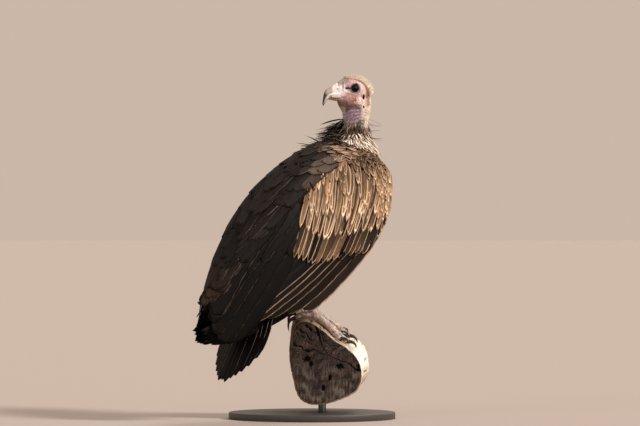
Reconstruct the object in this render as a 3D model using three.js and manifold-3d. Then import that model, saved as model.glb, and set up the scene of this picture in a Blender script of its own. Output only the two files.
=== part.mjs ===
// A life-size hooded vulture, perched on a cut length of dead branch that a plain display stand holds.
// Millimetres, +Z up. The origin is the middle of the stand base's underside. The bird faces -Y, its left
// side is +X, and its head is turned back over its left shoulder. The branch runs at an angle under its feet.

import * as THREE from 'three';
import { mergeVertices } from 'three/addons/utils/BufferGeometryUtils.js';
import { LoftGeometry } from 'three/addons/geometries/LoftGeometry.js';
import Module from 'manifold-3d';

const wasm = await Module();
wasm.setup();

// ---------------------------------------------------------------- driving dimensions

const GAP = 0.3; // clearance between pieces that touch
const END_CROWDING = 0.6; // how far a body's sections crowd towards its rounded ends, from 0 to 1
const MIRROR = new THREE.Matrix4().makeScale(-1, 1, 1);
const ACROSS = [1, 0, 0]; // the bird's own left-right direction

// The lengthwise run of each body part is a short list of stations: where its middle is, and its half width
// and half depth there.
const TRUNK = {
  spine: [
    [0, 112, 262], [0, 92, 284], [0, 40, 334], [0, -18, 388], [0, -66, 434], [0, -89, 466], [0, -104, 494],
  ],
  wide: [14, 40, 72, 87, 77, 48, 28],
  deep: [8, 30, 62, 78, 66, 42, 26],
  steps: 11,
  sides: 18,
};

const NECK = {
  spine: [[0, -98, 478], [0, -102, 505], [0.5, -105, 532], [0.5, -106.5, 556], [2, -106.5, 579]],
  wide: [27, 25.5, 23, 25, 20],
  deep: [28, 26.5, 24, 26.5, 24],
  steps: 6,
  sides: 14,
};

// The head is built in its own frame: bill towards +X, crown towards +Z, eyes level with z = 0.
const HEAD = {
  at: [4, -101, 594],
  turn: 62, // degrees from +X, which is 152 from the way the body faces
  flat: [0, 1, 0],
  spine: [[-36.5, 0, -15], [-31, 0, -11], [-22, 0, -4.5], [-6, 0, -1], [8, 0, -2.5], [18, 0, -4], [26.4, 0, -4.6]],
  wide: [7, 14, 20.5, 21.5, 17.5, 12.5, 9.6],
  deep: [10, 19, 24.5, 26, 25.5, 21.5, 16.6],
  steps: 11,
  sides: 16,
};

const EYE = { at: [1, 14.6, 1.3], radius: 7.6 };
const EAR = { at: [-15.6, 20.4, -14.4], radius: 3.6 };
const NOSTRIL = { at: [31, 8.6, 0.5], radius: 2 };

const UPPER_BILL = {
  flat: [0, 1, 0],
  spine: [
    [26.8, 0, -2], [33, 0, -3.2], [41, 0, -5.2], [48, 0, -8],
    [52.5, 0, -13.5], [54.6, 0, -20.5], [55.6, 0, -29],
  ],
  wide: [9, 8.4, 6.8, 5.4, 3.8, 2.2, 0.6],
  deep: [13, 11.4, 9.6, 7.6, 5.2, 3, 0.6],
  steps: 8,
  sides: 12,
};

const LOWER_BILL = {
  flat: [0, 1, 0],
  spine: [[16, 0, -18.4], [27, 0, -18.2], [39, 0, -17.6], [47, 0, -16.6]],
  wide: [6.6, 6.4, 4.8, 1.8],
  deep: [2.6, 3, 2.4, 1],
  steps: 5,
  sides: 10,
};

const RUFF = {
  spine: [[0, -80, 436], [0, -86, 458], [0, -92, 482], [0, -97, 499], [0, -101, 512], [0, -103, 525]],
  wide: [44, 64, 66, 50, 34, 27],
  deep: [34, 54, 58, 48, 35, 28],
  steps: 6,
  sides: 16,
};

// Rails that a folded wing's outer surface runs through, from the shoulder to the feather tips: along the
// back, over the shoulder, down the side and along the lower edge. These are the right wing's.
const WING = {
  dorsal: [
    [-2, -92, 504], [-2, -25, 502], [-2, 50, 460],
    [-2, 118, 394], [-2, 184, 309], [-3, 259, 217],
  ],
  upper: [
    [-58, -100, 476], [-58, -23, 477], [-60, 50, 441],
    [-59, 121, 382], [-43, 193, 292], [-13, 252, 190],
  ],
  side: [
    [-84, -118, 440], [-104, -62, 416], [-100, 15, 352],
    [-84, 95, 272], [-66, 168, 207], [-38, 240, 140],
  ],
  lower: [
    [-82, -119, 376], [-96, -88, 338], [-92, -32, 278],
    [-78, 40, 210], [-64, 92, 174], [-48, 142, 152],
  ],
  thick: [20, 16, 12, 9, 6, 3],
  along: 11,
  around: 12,
  notch: 5, // how deep the notches between the feather tips are
};

// The folded primaries: a flat bundle that comes out from under the wing's lower half.
const PRIMARIES = {
  flat: [0, 0.35, 0.94],
  spine: [[-58, 60, 226], [-43, 130, 190], [-27, 200, 164], [-9, 262, 148]],
  wide: [22, 22, 21, 17],
  deep: [4, 3.5, 2.5, 1.2],
  steps: 6,
  sides: 8,
};

const TAIL = {
  root: [0, 96, 280],
  slope: 62, // degrees below level
  length: 238,
  widths: [24, 38, 54, 66, 66], // half widths from root to tip
  arch: 8, // how far the outer feathers droop
  round: 0.28, // how much shorter the outer feathers are
  notch: 5,
  thick: [10, 2.5],
  along: 4,
  around: 24,
};

// The branch stub lies under the feet, its sawn end turned away from the bird's right side.
const BRANCH = {
  heading: 140, // degrees from +X of the way the sawn end faces
  middle: [5, -28, 110],
  rise: 6, // degrees that it climbs away from the sawn end
  reach: 82, // from the middle to each end
  radii: [62, 50, 54, 71, 79, 74, 74, 74, 60, 56, 65, 86], // round the section, from the top, forward first
  waver: 2.5, // how far the surface wanders in and out along the length
  flare: 14, // how much the front swells away from the sawn end
  steps: 6,
  sides: 32,
};

const BASE = { radius: 150, thick: 12, chamfer: 2, sides: 40 };
const ROD = { radius: 7, spread: 52, top: 60, sides: 16 }; // the tops stand in holes in the branch

// Each foot stands on the branch: how far along it, and how far round from its top. The toes follow the bark.
const FEET = {
  right: { along: 50, round: -8, heel: [-27, 46, 254], hip: [-50, -26, 344] },
  left: { along: -16, round: -8, heel: [23, 4, 256], hip: [50, -36, 344] },
};
const TARSUS = { wide: [6, 4.8, 5, 7], deep: [7.4, 5.8, 5.8, 8], steps: 5, sides: 10 };
const THIGH = { wide: [30, 37, 23, 9.5], deep: [40, 44, 27, 11], steps: 6, sides: 12 };

// Each toe: how far it reaches round the branch in degrees, how far it splays along it, its thickness at root
// and tip, and the length of its claw in degrees.
const TOES = {
  inner: { reach: 46, splay: 22, root: 7, tip: 5, claw: 17 },
  middle: { reach: 60, splay: 3, root: 7.6, tip: 5.4, claw: 17 },
  outer: { reach: 44, splay: -20, root: 6.6, tip: 4.8, claw: 15 },
  hind: { reach: -24, splay: 6, root: 6.8, tip: 5, claw: -16 },
};
const TOE = { clear: 1.2, humped: 2, flatness: 0.9, points: 6, steps: 4, sides: 7 }; // clear: above the bark
const ANKLE = 9; // its height above the bark
const CLAW = { root: 3.6, tip: 0.5, lift: 6.5, points: 5, flatness: 0.8, steps: 3, sides: 6 };

const COLOUR = {
  plumage: 0x4a3b30,
  wing: 0x3a2f28,
  flight: 0x1f1a18,
  skin: 0xd9b3a8,
  bill: 0xb7a898,
  eye: 0x14151c,
  leg: 0xb4afa2,
  claw: 0x221c1a,
  wood: 0x6b5543,
  base: 0x3b3835,
  rod: 0x8f8f8f,
};

// ---------------------------------------------------------------- helpers

const point = (p) => new THREE.Vector3(...p);
const radians = THREE.MathUtils.degToRad;

// A closed mesh as a manifold-3d solid.
function solidOf(geometry, matrix) {
  const bare = new THREE.BufferGeometry().setAttribute('position', geometry.getAttribute('position').clone());
  bare.setIndex(geometry.index);
  if (matrix) bare.applyMatrix4(matrix);
  const merged = mergeVertices(bare, 1e-3);
  const triVerts = new Uint32Array(merged.index.array);
  if (matrix && matrix.determinant() < 0) {
    for (let i = 0; i < triVerts.length; i += 3) {
      [triVerts[i + 1], triVerts[i + 2]] = [triVerts[i + 2], triVerts[i + 1]];
    }
  }
  return new wasm.Manifold(new wasm.Mesh({
    numProp: 3,
    vertProperties: merged.attributes.position.array,
    triVerts,
  }));
}

// A solid's triangles as a geometry with flat facets.
function geometryOf(solid) {
  const mesh = solid.getMesh();
  const positions = new Float32Array(mesh.numVert * 3);
  for (let i = 0; i < mesh.numVert; i++) {
    positions.set(mesh.vertProperties.subarray(i * mesh.numProp, i * mesh.numProp + 3), i * 3);
  }
  return new THREE.BufferGeometry()
    .setAttribute('position', new THREE.BufferAttribute(positions, 3))
    .setIndex(new THREE.BufferAttribute(new Uint32Array(mesh.triVerts), 1));
}

// A solid cut back from its neighbours' rooms. Any scrap that a cut leaves loose is dropped.
function fitted(solid, ...rooms) {
  const left = rooms.flat().reduce((rest, room) => rest.subtract(room), solid);
  return left.decompose().reduce((a, b) => (b.volume() > a.volume() ? b : a));
}

// A smooth run of half widths and half depths that keeps step with a spine.
function sizesAlong(wide, deep) {
  return new THREE.CatmullRomCurve3(wide.map((w, i) => new THREE.Vector3(w, deep[i], 0)));
}

// A rounded body along a spine. grow adds to it all round, for cutting a neighbour back to a clearance.
function bodyLoft({ spine, wide, deep, steps, sides, flat = ACROSS }, grow = 0) {
  const line = new THREE.CatmullRomCurve3(spine.map(point));
  const sizes = sizesAlong(wide, deep);
  const sections = [];
  for (let i = 0; i <= steps; i++) {
    const eased = (1 - Math.cos((Math.PI * i) / steps)) / 2;
    const u = THREE.MathUtils.lerp(i / steps, eased, END_CROWDING);
    const middle = line.getPoint(u);
    const ahead = line.getTangent(u);
    const side = point(flat).addScaledVector(ahead, -point(flat).dot(ahead)).normalize();
    const up = ahead.clone().cross(side);
    const size = sizes.getPoint(u);
    if (grow && (i === 0 || i === steps)) middle.addScaledVector(ahead, i === 0 ? -grow : grow);
    sections.push(Array.from({ length: sides }, (_, k) => {
      const angle = (2 * Math.PI * k) / sides;
      return middle.clone()
        .addScaledVector(side, (size.x + grow) * Math.cos(angle))
        .addScaledVector(up, (size.y + grow) * Math.sin(angle));
    }));
  }
  return new LoftGeometry(sections, { capStart: true, capEnd: true });
}

function named(name, geometry, colour, roughness = 0.85, metalness = 0) {
  const finish = new THREE.MeshStandardMaterial({ color: colour, roughness, metalness });
  const mesh = new THREE.Mesh(geometry, finish);
  mesh.name = name;
  return mesh;
}

// ---------------------------------------------------------------- trunk, neck and head

const headMatrix = new THREE.Matrix4().makeRotationZ(radians(HEAD.turn)).setPosition(point(HEAD.at));

const trunk = solidOf(bodyLoft(TRUNK));
const trunkRoom = solidOf(bodyLoft(TRUNK, GAP));

const headWhole = solidOf(bodyLoft(HEAD));
const headRoom = solidOf(bodyLoft(HEAD, GAP), headMatrix);
const billRoom = solidOf(bodyLoft(LOWER_BILL, GAP), headMatrix);

function eyeBall(grow = 0) {
  return new THREE.SphereGeometry(EYE.radius + grow, 10, 8);
}

// A round hollow in the head's side.
function pit({ at: [x, y, z], radius }, side) {
  return solidOf(new THREE.SphereGeometry(radius, 8, 6), new THREE.Matrix4().makeTranslation(x, y * side, z));
}

function buildHead() {
  const group = new THREE.Group();
  group.position.set(...HEAD.at);
  group.rotation.z = radians(HEAD.turn);

  let upperBill = solidOf(bodyLoft(UPPER_BILL)).subtract(solidOf(bodyLoft(LOWER_BILL, GAP)));
  const lowerBill = bodyLoft(LOWER_BILL);
  let flesh = headWhole
    .subtract(solidOf(bodyLoft(UPPER_BILL, GAP)))
    .subtract(solidOf(bodyLoft(LOWER_BILL, GAP)));
  for (const side of [1, -1]) {
    const [x, y, z] = EYE.at;
    flesh = flesh.subtract(solidOf(eyeBall(GAP), new THREE.Matrix4().makeTranslation(x, y * side, z)));
    const eye = named(side > 0 ? 'left_eye' : 'right_eye', eyeBall(), COLOUR.eye, 0.1);
    eye.position.set(x, y * side, z);
    group.add(eye);
    flesh = flesh.subtract(pit(EAR, side));
    upperBill = upperBill.subtract(pit(NOSTRIL, side));
  }
  group.add(named('head', geometryOf(flesh), COLOUR.skin, 0.6));
  group.add(named('upper_bill', geometryOf(upperBill), COLOUR.bill, 0.4));
  group.add(named('lower_bill', lowerBill, COLOUR.bill, 0.4));
  return group;
}

const neckRoom = solidOf(bodyLoft(NECK, GAP));
const ruffRoom = solidOf(bodyLoft(RUFF, GAP));

function buildNeck() {
  const neck = fitted(solidOf(bodyLoft(NECK)), trunkRoom, headRoom, billRoom);
  const ruff = fitted(solidOf(bodyLoft(RUFF)), neckRoom, trunkRoom, headRoom);
  return [
    named('neck', geometryOf(neck), COLOUR.skin, 0.6),
    named('neck_ruff', geometryOf(ruff), COLOUR.plumage),
  ];
}

// ---------------------------------------------------------------- wings and tail

const rails = [WING.dorsal, WING.upper, WING.side, WING.lower]
  .map((rail) => new THREE.CatmullRomCurve3(rail.map(point)));

// A point of the right wing's outer surface: s from shoulder to tips, t from the back to the lower edge.
function wingSurface(s, t) {
  return new THREE.CatmullRomCurve3(rails.map((rail) => rail.getPoint(s))).getPoint(t);
}

function wingNormal(s, t) {
  const step = 0.01;
  const alongS = wingSurface(Math.min(1, s + step), t).sub(wingSurface(Math.max(0, s - step), t));
  const alongT = wingSurface(s, Math.min(1, t + step)).sub(wingSurface(s, Math.max(0, t - step)));
  return alongS.cross(alongT).normalize();
}

// A thick sheet from two matching grids of points, its outer and its inner face, closed along all four edges.
function sheet(outer, inner) {
  const rows = outer.length;
  const columns = outer[0].length;
  const half = rows * columns;
  const at = (i, k) => i * columns + k;
  const index = [];
  const quad = (a, b, c, d) => index.push(a, b, c, a, c, d);
  for (let i = 0; i < rows - 1; i++) {
    for (let k = 0; k < columns - 1; k++) {
      quad(at(i, k), at(i + 1, k), at(i + 1, k + 1), at(i, k + 1));
      quad(half + at(i, k), half + at(i, k + 1), half + at(i + 1, k + 1), half + at(i + 1, k));
    }
    quad(at(i, 0), half + at(i, 0), half + at(i + 1, 0), at(i + 1, 0));
    const last = columns - 1;
    quad(at(i, last), at(i + 1, last), half + at(i + 1, last), half + at(i, last));
  }
  for (let k = 0; k < columns - 1; k++) {
    quad(at(0, k), at(0, k + 1), half + at(0, k + 1), half + at(0, k));
    quad(at(rows - 1, k), half + at(rows - 1, k), half + at(rows - 1, k + 1), at(rows - 1, k + 1));
  }
  const positions = [...outer.flat(), ...inner.flat()].flatMap((p) => p.toArray());
  return new THREE.BufferGeometry()
    .setAttribute('position', new THREE.Float32BufferAttribute(positions, 3))
    .setIndex(index);
}

// A grid of points, its border moved outwards by grow.
function gridOf(along, around, grow, place) {
  const grid = Array.from({ length: along + 1 }, (_, i) =>
    Array.from({ length: around + 1 }, (_, k) => place(i / along, k / around)));
  const push = (edge, inner) => edge.forEach((p, k) => p.add(p.clone().sub(inner[k]).setLength(grow)));
  push(grid[0], grid[1]);
  push(grid.at(-1), grid.at(-2));
  for (const row of grid) {
    push([row[0], row.at(-1)], [row[1], row.at(-2)]);
  }
  return grid;
}

// Every other point of a grid's far edge drawn back, which leaves a row of feather tips.
function notched(grid, by) {
  const inner = grid.at(-2);
  grid.at(-1).forEach((p, k) => {
    if (k % 2 === 0) p.add(inner[k].clone().sub(p).setLength(by));
  });
  return grid;
}

function wingShell(grow = 0) {
  const { along, around, thick, notch } = WING;
  const depth = new THREE.CatmullRomCurve3(thick.map((d) => new THREE.Vector3(d, 0, 0)));
  const outer = gridOf(along, around, grow, (s, t) =>
    wingSurface(s, t).addScaledVector(wingNormal(s, t), grow));
  const inner = gridOf(along, around, grow, (s, t) =>
    wingSurface(s, t).addScaledVector(wingNormal(s, t), -depth.getPoint(s).x - grow));
  return sheet(notched(outer, notch), notched(inner, notch));
}

// The other side of the midline, for keeping a wing on its own side.
const farHalf = new THREE.Matrix4().makeTranslation(500 - GAP / 2, 0, 300);
const otherHalf = solidOf(new THREE.BoxGeometry(1000, 1000, 1000), farHalf);

const tailFan = solidOf(tailSheet());
const tailRoom = solidOf(tailSheet(GAP));

function wingParts(matrix) {
  const half = matrix ? otherHalf.mirror([1, 0, 0]) : otherHalf;
  const shell = solidOf(wingShell(), matrix);
  const bundle = solidOf(bodyLoft(PRIMARIES), matrix);
  const bundleRoom = solidOf(bodyLoft(PRIMARIES, GAP), matrix);
  return {
    wing: fitted(shell, half, trunkRoom, ruffRoom, bundleRoom),
    wingRoom: solidOf(wingShell(GAP), matrix),
    primaries: fitted(bundle, half, trunkRoom, tailRoom),
    bundleRoom,
  };
}

// A point of the tail fan's upper face: s from root to tip, t from its left edge to its right.
function tailSurface(s, t) {
  const { root, slope, length, widths, arch, round } = TAIL;
  const across = 1 - 2 * t;
  const half = new THREE.CatmullRomCurve3(widths.map((w) => new THREE.Vector3(w, 0, 0))).getPoint(s).x;
  const reach = length * s * (1 - round * across * across);
  const down = radians(slope);
  const p = point(root);
  p.x += half * across;
  p.y += reach * Math.cos(down);
  p.z -= reach * Math.sin(down);
  const droop = arch * across * across;
  p.y -= droop * Math.sin(down);
  p.z -= droop * Math.cos(down);
  return p;
}

function tailSheet(grow = 0) {
  const { along, around, thick, slope, notch } = TAIL;
  const down = radians(slope);
  const under = new THREE.Vector3(0, -Math.sin(down), -Math.cos(down));
  const outer = gridOf(along, around, grow, (s, t) => tailSurface(s, t).addScaledVector(under, -grow));
  const inner = gridOf(along, around, grow, (s, t) =>
    tailSurface(s, t).addScaledVector(under, THREE.MathUtils.lerp(thick[0], thick[1], s) + grow));
  return sheet(notched(outer, notch), notched(inner, notch));
}

// ---------------------------------------------------------------- branch and stand

const heading = radians(BRANCH.heading);
const branchAxis = new THREE.Vector3(Math.cos(heading), Math.sin(heading), 0);
const branchSide = new THREE.Vector3().crossVectors(branchAxis, new THREE.Vector3(0, 0, 1)).negate();
const branchRadii = new THREE.CatmullRomCurve3(BRANCH.radii.map((r) => new THREE.Vector3(r, 0, 0)), true);
branchRadii.curveType = 'catmullrom';

// A point beside the branch: degrees round from its top towards the bird's front, distance along it, and
// height above its bark.
function onBranch(round, along, height = 0) {
  const turn = ((round / 360) % 1 + 1) % 1;
  const waver = BRANCH.waver * Math.sin(along / 23 + 3 * radians(round)) * Math.sin(radians(round) * 2 + 1);
  const swell = Math.max(0, Math.sin(radians(round) - 0.35)) ** 2;
  const flare = (BRANCH.flare * (1 - along / BRANCH.reach) * swell) / 2;
  const r = branchRadii.getPoint(turn).x + flare + waver + height;
  return point(BRANCH.middle)
    .addScaledVector(branchAxis, along)
    .addScaledVector(branchSide, r * Math.sin(radians(round)))
    .add(new THREE.Vector3(0, 0, r * Math.cos(radians(round)) - along * Math.tan(radians(BRANCH.rise))));
}

function branchLoft(grow = 0) {
  const { reach, steps, sides } = BRANCH;
  const sections = Array.from({ length: steps + 1 }, (_, i) => {
    const along = (reach + grow) * ((2 * i) / steps - 1);
    return Array.from({ length: sides }, (__, k) => onBranch((-360 * k) / sides, along, grow));
  });
  return new LoftGeometry(sections, { capStart: true, capEnd: true });
}

const branchRoom = solidOf(branchLoft(GAP));

// Where the rod that stands towards the sawn end (way 1) or the far end (way -1) is.
function rodPlace(way) {
  const flat = new THREE.Vector3(branchAxis.x, branchAxis.y, 0).multiplyScalar(way * ROD.spread);
  return flat.add(new THREE.Vector3(BRANCH.middle[0], BRANCH.middle[1], (BASE.thick + GAP + ROD.top) / 2));
}

function buildBranch() {
  let wood = solidOf(branchLoft());
  const depth = ROD.top - BASE.thick + GAP;
  for (const way of [1, -1]) {
    const drill = new THREE.CylinderGeometry(ROD.radius + GAP, ROD.radius + GAP, depth, ROD.sides);
    drill.rotateX(Math.PI / 2);
    wood = wood.subtract(solidOf(drill, new THREE.Matrix4().setPosition(rodPlace(way))));
  }
  return named('perch_branch', geometryOf(wood), COLOUR.wood, 0.9);
}

function buildStand() {
  const group = new THREE.Group();
  const { radius, thick, chamfer, sides } = BASE;
  const outline = [[0, 0], [radius, 0], [radius, thick - chamfer], [radius - chamfer, thick], [0, thick]];
  const disc = new THREE.LatheGeometry(outline.map(([x, y]) => new THREE.Vector2(x, y)), sides);
  const base = named('stand_base', disc, COLOUR.base, 0.6);
  base.rotation.x = Math.PI / 2;
  group.add(base);
  for (const [name, way] of [['stand_rod_a', 1], ['stand_rod_b', -1]]) {
    const length = ROD.top - thick - GAP;
    const round = new THREE.CylinderGeometry(ROD.radius, ROD.radius, length, ROD.sides);
    const rod = named(name, round, COLOUR.rod, 0.35, 1);
    rod.rotation.x = Math.PI / 2;
    rod.position.copy(rodPlace(way));
    group.add(rod);
  }
  return group;
}

// ---------------------------------------------------------------- legs and feet

// The middle line of one toe, from the ankle out over the bark.
function toeLine(foot, toe) {
  return Array.from({ length: TOE.points + 1 }, (_, i) => {
    const t = i / TOE.points;
    const thick = THREE.MathUtils.lerp(toe.root, toe.tip, t) * TOE.flatness;
    const height = thick + TOE.clear + TOE.humped * (1 - t);
    return onBranch(foot.round + toe.reach * t, foot.along + toe.splay * t, height).toArray();
  });
}

function toeOf(foot, toe) {
  const wide = [toe.root, toe.root * 0.94, toe.root * 0.88, toe.tip * 1.06, toe.tip];
  const deep = wide.map((w) => w * TOE.flatness);
  return { spine: toeLine(foot, toe), wide, deep, steps: TOE.steps, sides: TOE.sides };
}

// A straight run of points from one joint of the leg to the next.
function legRun(from, to, end = to) {
  return [from, from.clone().lerp(to, 0.35), from.clone().lerp(to, 0.75), end].map((p) => p.toArray());
}

function legParts(side) {
  const foot = FEET[side];
  const ankle = onBranch(foot.round, foot.along, ANKLE);
  const heel = point(foot.heel);
  const hip = point(foot.hip);
  const belowHeel = heel.clone().lerp(ankle, 0.06);
  const toes = Object.values(TOES).map((toe) => solidOf(bodyLoft(toeOf(foot, toe))));
  return {
    tarsus: { ...TARSUS, spine: legRun(ankle, heel) },
    thigh: { ...THIGH, spine: legRun(hip, heel, belowHeel) },
    toes: toes.reduce((all, toe) => all.add(toe)),
    claws: Object.entries(TOES).map(([name, toe]) => [name, clawOf(foot, toe)]),
  };
}

// A claw carries on from its toe, arches up and comes down on the bark with its tip.
function clawOf(foot, toe) {
  const spine = Array.from({ length: CLAW.points + 1 }, (_, i) => {
    const t = i / CLAW.points;
    const arch = CLAW.lift * Math.sin(Math.PI * t * 0.85);
    const height = TOE.clear + 1 + THREE.MathUtils.lerp(CLAW.root, -0.4, t) + arch;
    const along = foot.along + toe.splay * (1 + 0.25 * t);
    return onBranch(foot.round + toe.reach + toe.claw * t, along, height).toArray();
  });
  const deep = [CLAW.root, CLAW.root * 0.8, CLAW.root * 0.5, CLAW.tip];
  return { spine, wide: deep.map((w) => w * CLAW.flatness), deep, steps: CLAW.steps, sides: CLAW.sides };
}

// ---------------------------------------------------------------- the whole bird

const vulture = new THREE.Group();
const wings = { right: wingParts(null), left: wingParts(MIRROR) };
const wingRooms = [wings.right.wingRoom, wings.left.wingRoom];
const bundleRooms = [wings.right.bundleRoom, wings.left.bundleRoom];
vulture.add(named('trunk', geometryOf(trunk), COLOUR.plumage), buildHead(), ...buildNeck());
vulture.add(named('tail', geometryOf(fitted(tailFan, trunkRoom, wingRooms)), COLOUR.flight));
vulture.add(buildBranch(), buildStand());

for (const side of ['right', 'left']) {
  vulture.add(named(`${side}_wing`, geometryOf(wings[side].wing), COLOUR.wing));
  vulture.add(named(`${side}_primaries`, geometryOf(wings[side].primaries), COLOUR.flight));
  const { tarsus, thigh, toes, claws } = legParts(side);
  const thighRoom = solidOf(bodyLoft(thigh, GAP));
  const tarsusRoom = solidOf(bodyLoft(tarsus, GAP));
  const thighBody = fitted(solidOf(bodyLoft(thigh)), trunkRoom, wingRooms, bundleRooms);
  const tarsusBody = fitted(solidOf(bodyLoft(tarsus)), thighRoom, branchRoom);
  const clawRooms = claws.map(([, claw]) => solidOf(bodyLoft(claw, GAP)));
  vulture.add(named(`${side}_thigh`, geometryOf(thighBody), COLOUR.plumage));
  vulture.add(named(`${side}_tarsus`, geometryOf(tarsusBody), COLOUR.leg));
  vulture.add(named(`${side}_foot`, geometryOf(fitted(toes, tarsusRoom, clawRooms, branchRoom)), COLOUR.leg));
  for (const [name, claw] of claws) {
    vulture.add(named(`${side}_claw_${name}`, bodyLoft(claw), COLOUR.claw, 0.4));
  }
}

export default vulture;
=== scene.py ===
import math
import bmesh
import bpy
import numpy as np
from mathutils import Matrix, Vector
from mathutils.kdtree import KDTree


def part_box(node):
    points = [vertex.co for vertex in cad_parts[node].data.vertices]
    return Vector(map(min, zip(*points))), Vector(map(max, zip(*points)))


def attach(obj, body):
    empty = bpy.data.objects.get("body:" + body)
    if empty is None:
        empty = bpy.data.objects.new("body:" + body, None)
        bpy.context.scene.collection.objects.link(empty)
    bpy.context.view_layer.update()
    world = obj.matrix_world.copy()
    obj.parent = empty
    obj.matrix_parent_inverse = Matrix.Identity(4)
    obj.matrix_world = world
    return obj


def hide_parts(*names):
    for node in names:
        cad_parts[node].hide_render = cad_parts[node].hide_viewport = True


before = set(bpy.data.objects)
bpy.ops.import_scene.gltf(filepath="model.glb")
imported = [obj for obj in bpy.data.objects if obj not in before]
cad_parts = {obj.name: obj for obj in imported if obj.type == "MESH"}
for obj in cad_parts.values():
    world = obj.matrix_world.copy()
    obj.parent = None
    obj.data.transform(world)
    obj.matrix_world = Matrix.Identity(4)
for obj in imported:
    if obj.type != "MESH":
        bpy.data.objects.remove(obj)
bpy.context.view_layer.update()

mm = 0.001
upZ = np.array([0.0, 0.0, 1.0])


# An sRGB hex value as a linear colour.
def hexColour(code):
    channels = [int(code[i:i + 2], 16) / 255 for i in (1, 3, 5)]
    return [c / 12.92 if c <= 0.04045 else ((c + 0.055) / 1.055) ** 2.4 for c in channels] + [1.0]


def rgb(code):
    return np.array(hexColour(code)[:3])


# A node with its settings and links. A node given as an input stands for its first output, and the new
# node's own first output may go straight on to a socket.
def addNode(tree, kind, inputs=None, to=None, **settings):
    node = tree.nodes.new(kind if kind.startswith(("Geometry", "Function", "Node")) else "ShaderNode" + kind)
    for key, value in settings.items():
        setattr(node, key, value)
    for key, value in (inputs or {}).items():
        if isinstance(value, bpy.types.Node):
            value = value.outputs[0]
        if isinstance(value, bpy.types.NodeSocket):
            tree.links.new(value, node.inputs[key])
        else:
            node.inputs[key].default_value = value
    if to is not None:
        tree.links.new(node.outputs[0], to)
    return node


def setStops(ramp, stops):
    points = ramp.color_ramp.elements
    while len(points) < len(stops):
        points.new(0.5)
    for point, (place, colour) in zip(points, stops):
        point.position = place
        point.color = hexColour(colour)


def startMaterial(name, **shader):
    material = bpy.data.materials.new(name)
    material.use_nodes = True
    tree = material.node_tree
    bsdf = tree.nodes["Principled BSDF"]
    for key, value in shader.items():
        bsdf.inputs[key.replace("_", " ")].default_value = value
    return material, tree, bsdf


# Every piece rides on the one body and takes the place of its CAD nodes; its slot is not used.
def settle(piece, slot, *nodes):
    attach(piece, "root")
    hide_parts(*nodes)


# From 0 at low to 1 at high, with a soft start and end.
def fade(low, high, value):
    t = np.clip((value - low) / (high - low), 0, 1)
    return t * t * (3 - 2 * t)


# 1 in the middle, falling off on both sides.
def hump(value, middle, width):
    return np.exp(-((value - middle) / width) ** 2)


def unit(vectors):
    return vectors / np.maximum(np.linalg.norm(vectors, axis=-1, keepdims=True), 1e-12)


# The value at each place of a line that is given as (place, value) pairs.
def onLine(line, at):
    places, values = np.transpose(line).astype(float)
    return np.interp(at, places, values)


# Smooth random values between about -1 and 1, from a few crossed waves of one wavelength.
def ripple(points, wavelength, seed):
    rolls = np.random.default_rng(seed)
    total = np.zeros(len(points))
    for _ in range(16):
        wave = unit(rolls.normal(size=3)) * (2 * math.pi / wavelength) * rolls.uniform(0.6, 1.7)
        total += np.sin(points @ wave + rolls.uniform(0, 6.28))
    return total / 4.8


# A mesh object from arrays of corners and of triangles or quads.
def meshPiece(name, points, faces, material=None):
    faces = np.asarray(faces, dtype=np.int32)
    mesh = bpy.data.meshes.new(name)
    mesh.vertices.add(len(points))
    mesh.vertices.foreach_set("co", np.asarray(points, dtype=np.float32).ravel())
    mesh.loops.add(faces.size)
    mesh.loops.foreach_set("vertex_index", faces.ravel())
    mesh.polygons.add(len(faces))
    mesh.polygons.foreach_set("loop_start", np.arange(len(faces), dtype=np.int32) * faces.shape[1])
    mesh.update(calc_edges=True)
    mesh.polygons.foreach_set("use_smooth", np.ones(len(faces), dtype=bool))
    if material:
        mesh.materials.append(material)
    piece = bpy.data.objects.new(name, mesh)
    bpy.context.scene.collection.objects.link(piece)
    return piece


def pointsOf(mesh):
    flat = np.empty(len(mesh.vertices) * 3, dtype=np.float32)
    mesh.vertices.foreach_get("co", flat)
    return flat.reshape(-1, 3).astype(float)


def normalsOf(mesh):
    flat = np.empty(len(mesh.vertices) * 3, dtype=np.float32)
    mesh.vertex_normals.foreach_get("vector", flat)
    return flat.reshape(-1, 3).astype(float)


def setAttribute(mesh, name, kind, values):
    width = {"FLOAT": "value", "FLOAT_VECTOR": "vector", "FLOAT_COLOR": "color"}[kind]
    layer = mesh.attributes.new(name, kind, "POINT")
    values = np.asarray(values, dtype=np.float32)
    if kind == "FLOAT_COLOR" and values.shape[1] == 3:
        values = np.column_stack([values, np.ones(len(values))]).astype(np.float32)
    layer.data.foreach_set(width, values.ravel())


def getAttribute(mesh, name, width):
    layer = mesh.attributes[name]
    flat = np.empty(len(layer.data) * width, dtype=np.float32)
    layer.data.foreach_get({1: "value", 3: "vector", 4: "color"}[width], flat)
    return flat.reshape(-1, width) if width > 1 else flat


# The evaluated result of an object's modifiers as a plain new mesh object; the first object goes.
def finished(piece, name=None):
    graph = bpy.context.evaluated_depsgraph_get()
    mesh = bpy.data.meshes.new_from_object(piece.evaluated_get(graph))
    mesh.name = name or piece.name
    bpy.data.objects.remove(piece)
    result = bpy.data.objects.new(mesh.name, mesh)
    bpy.context.scene.collection.objects.link(result)
    return result


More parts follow.
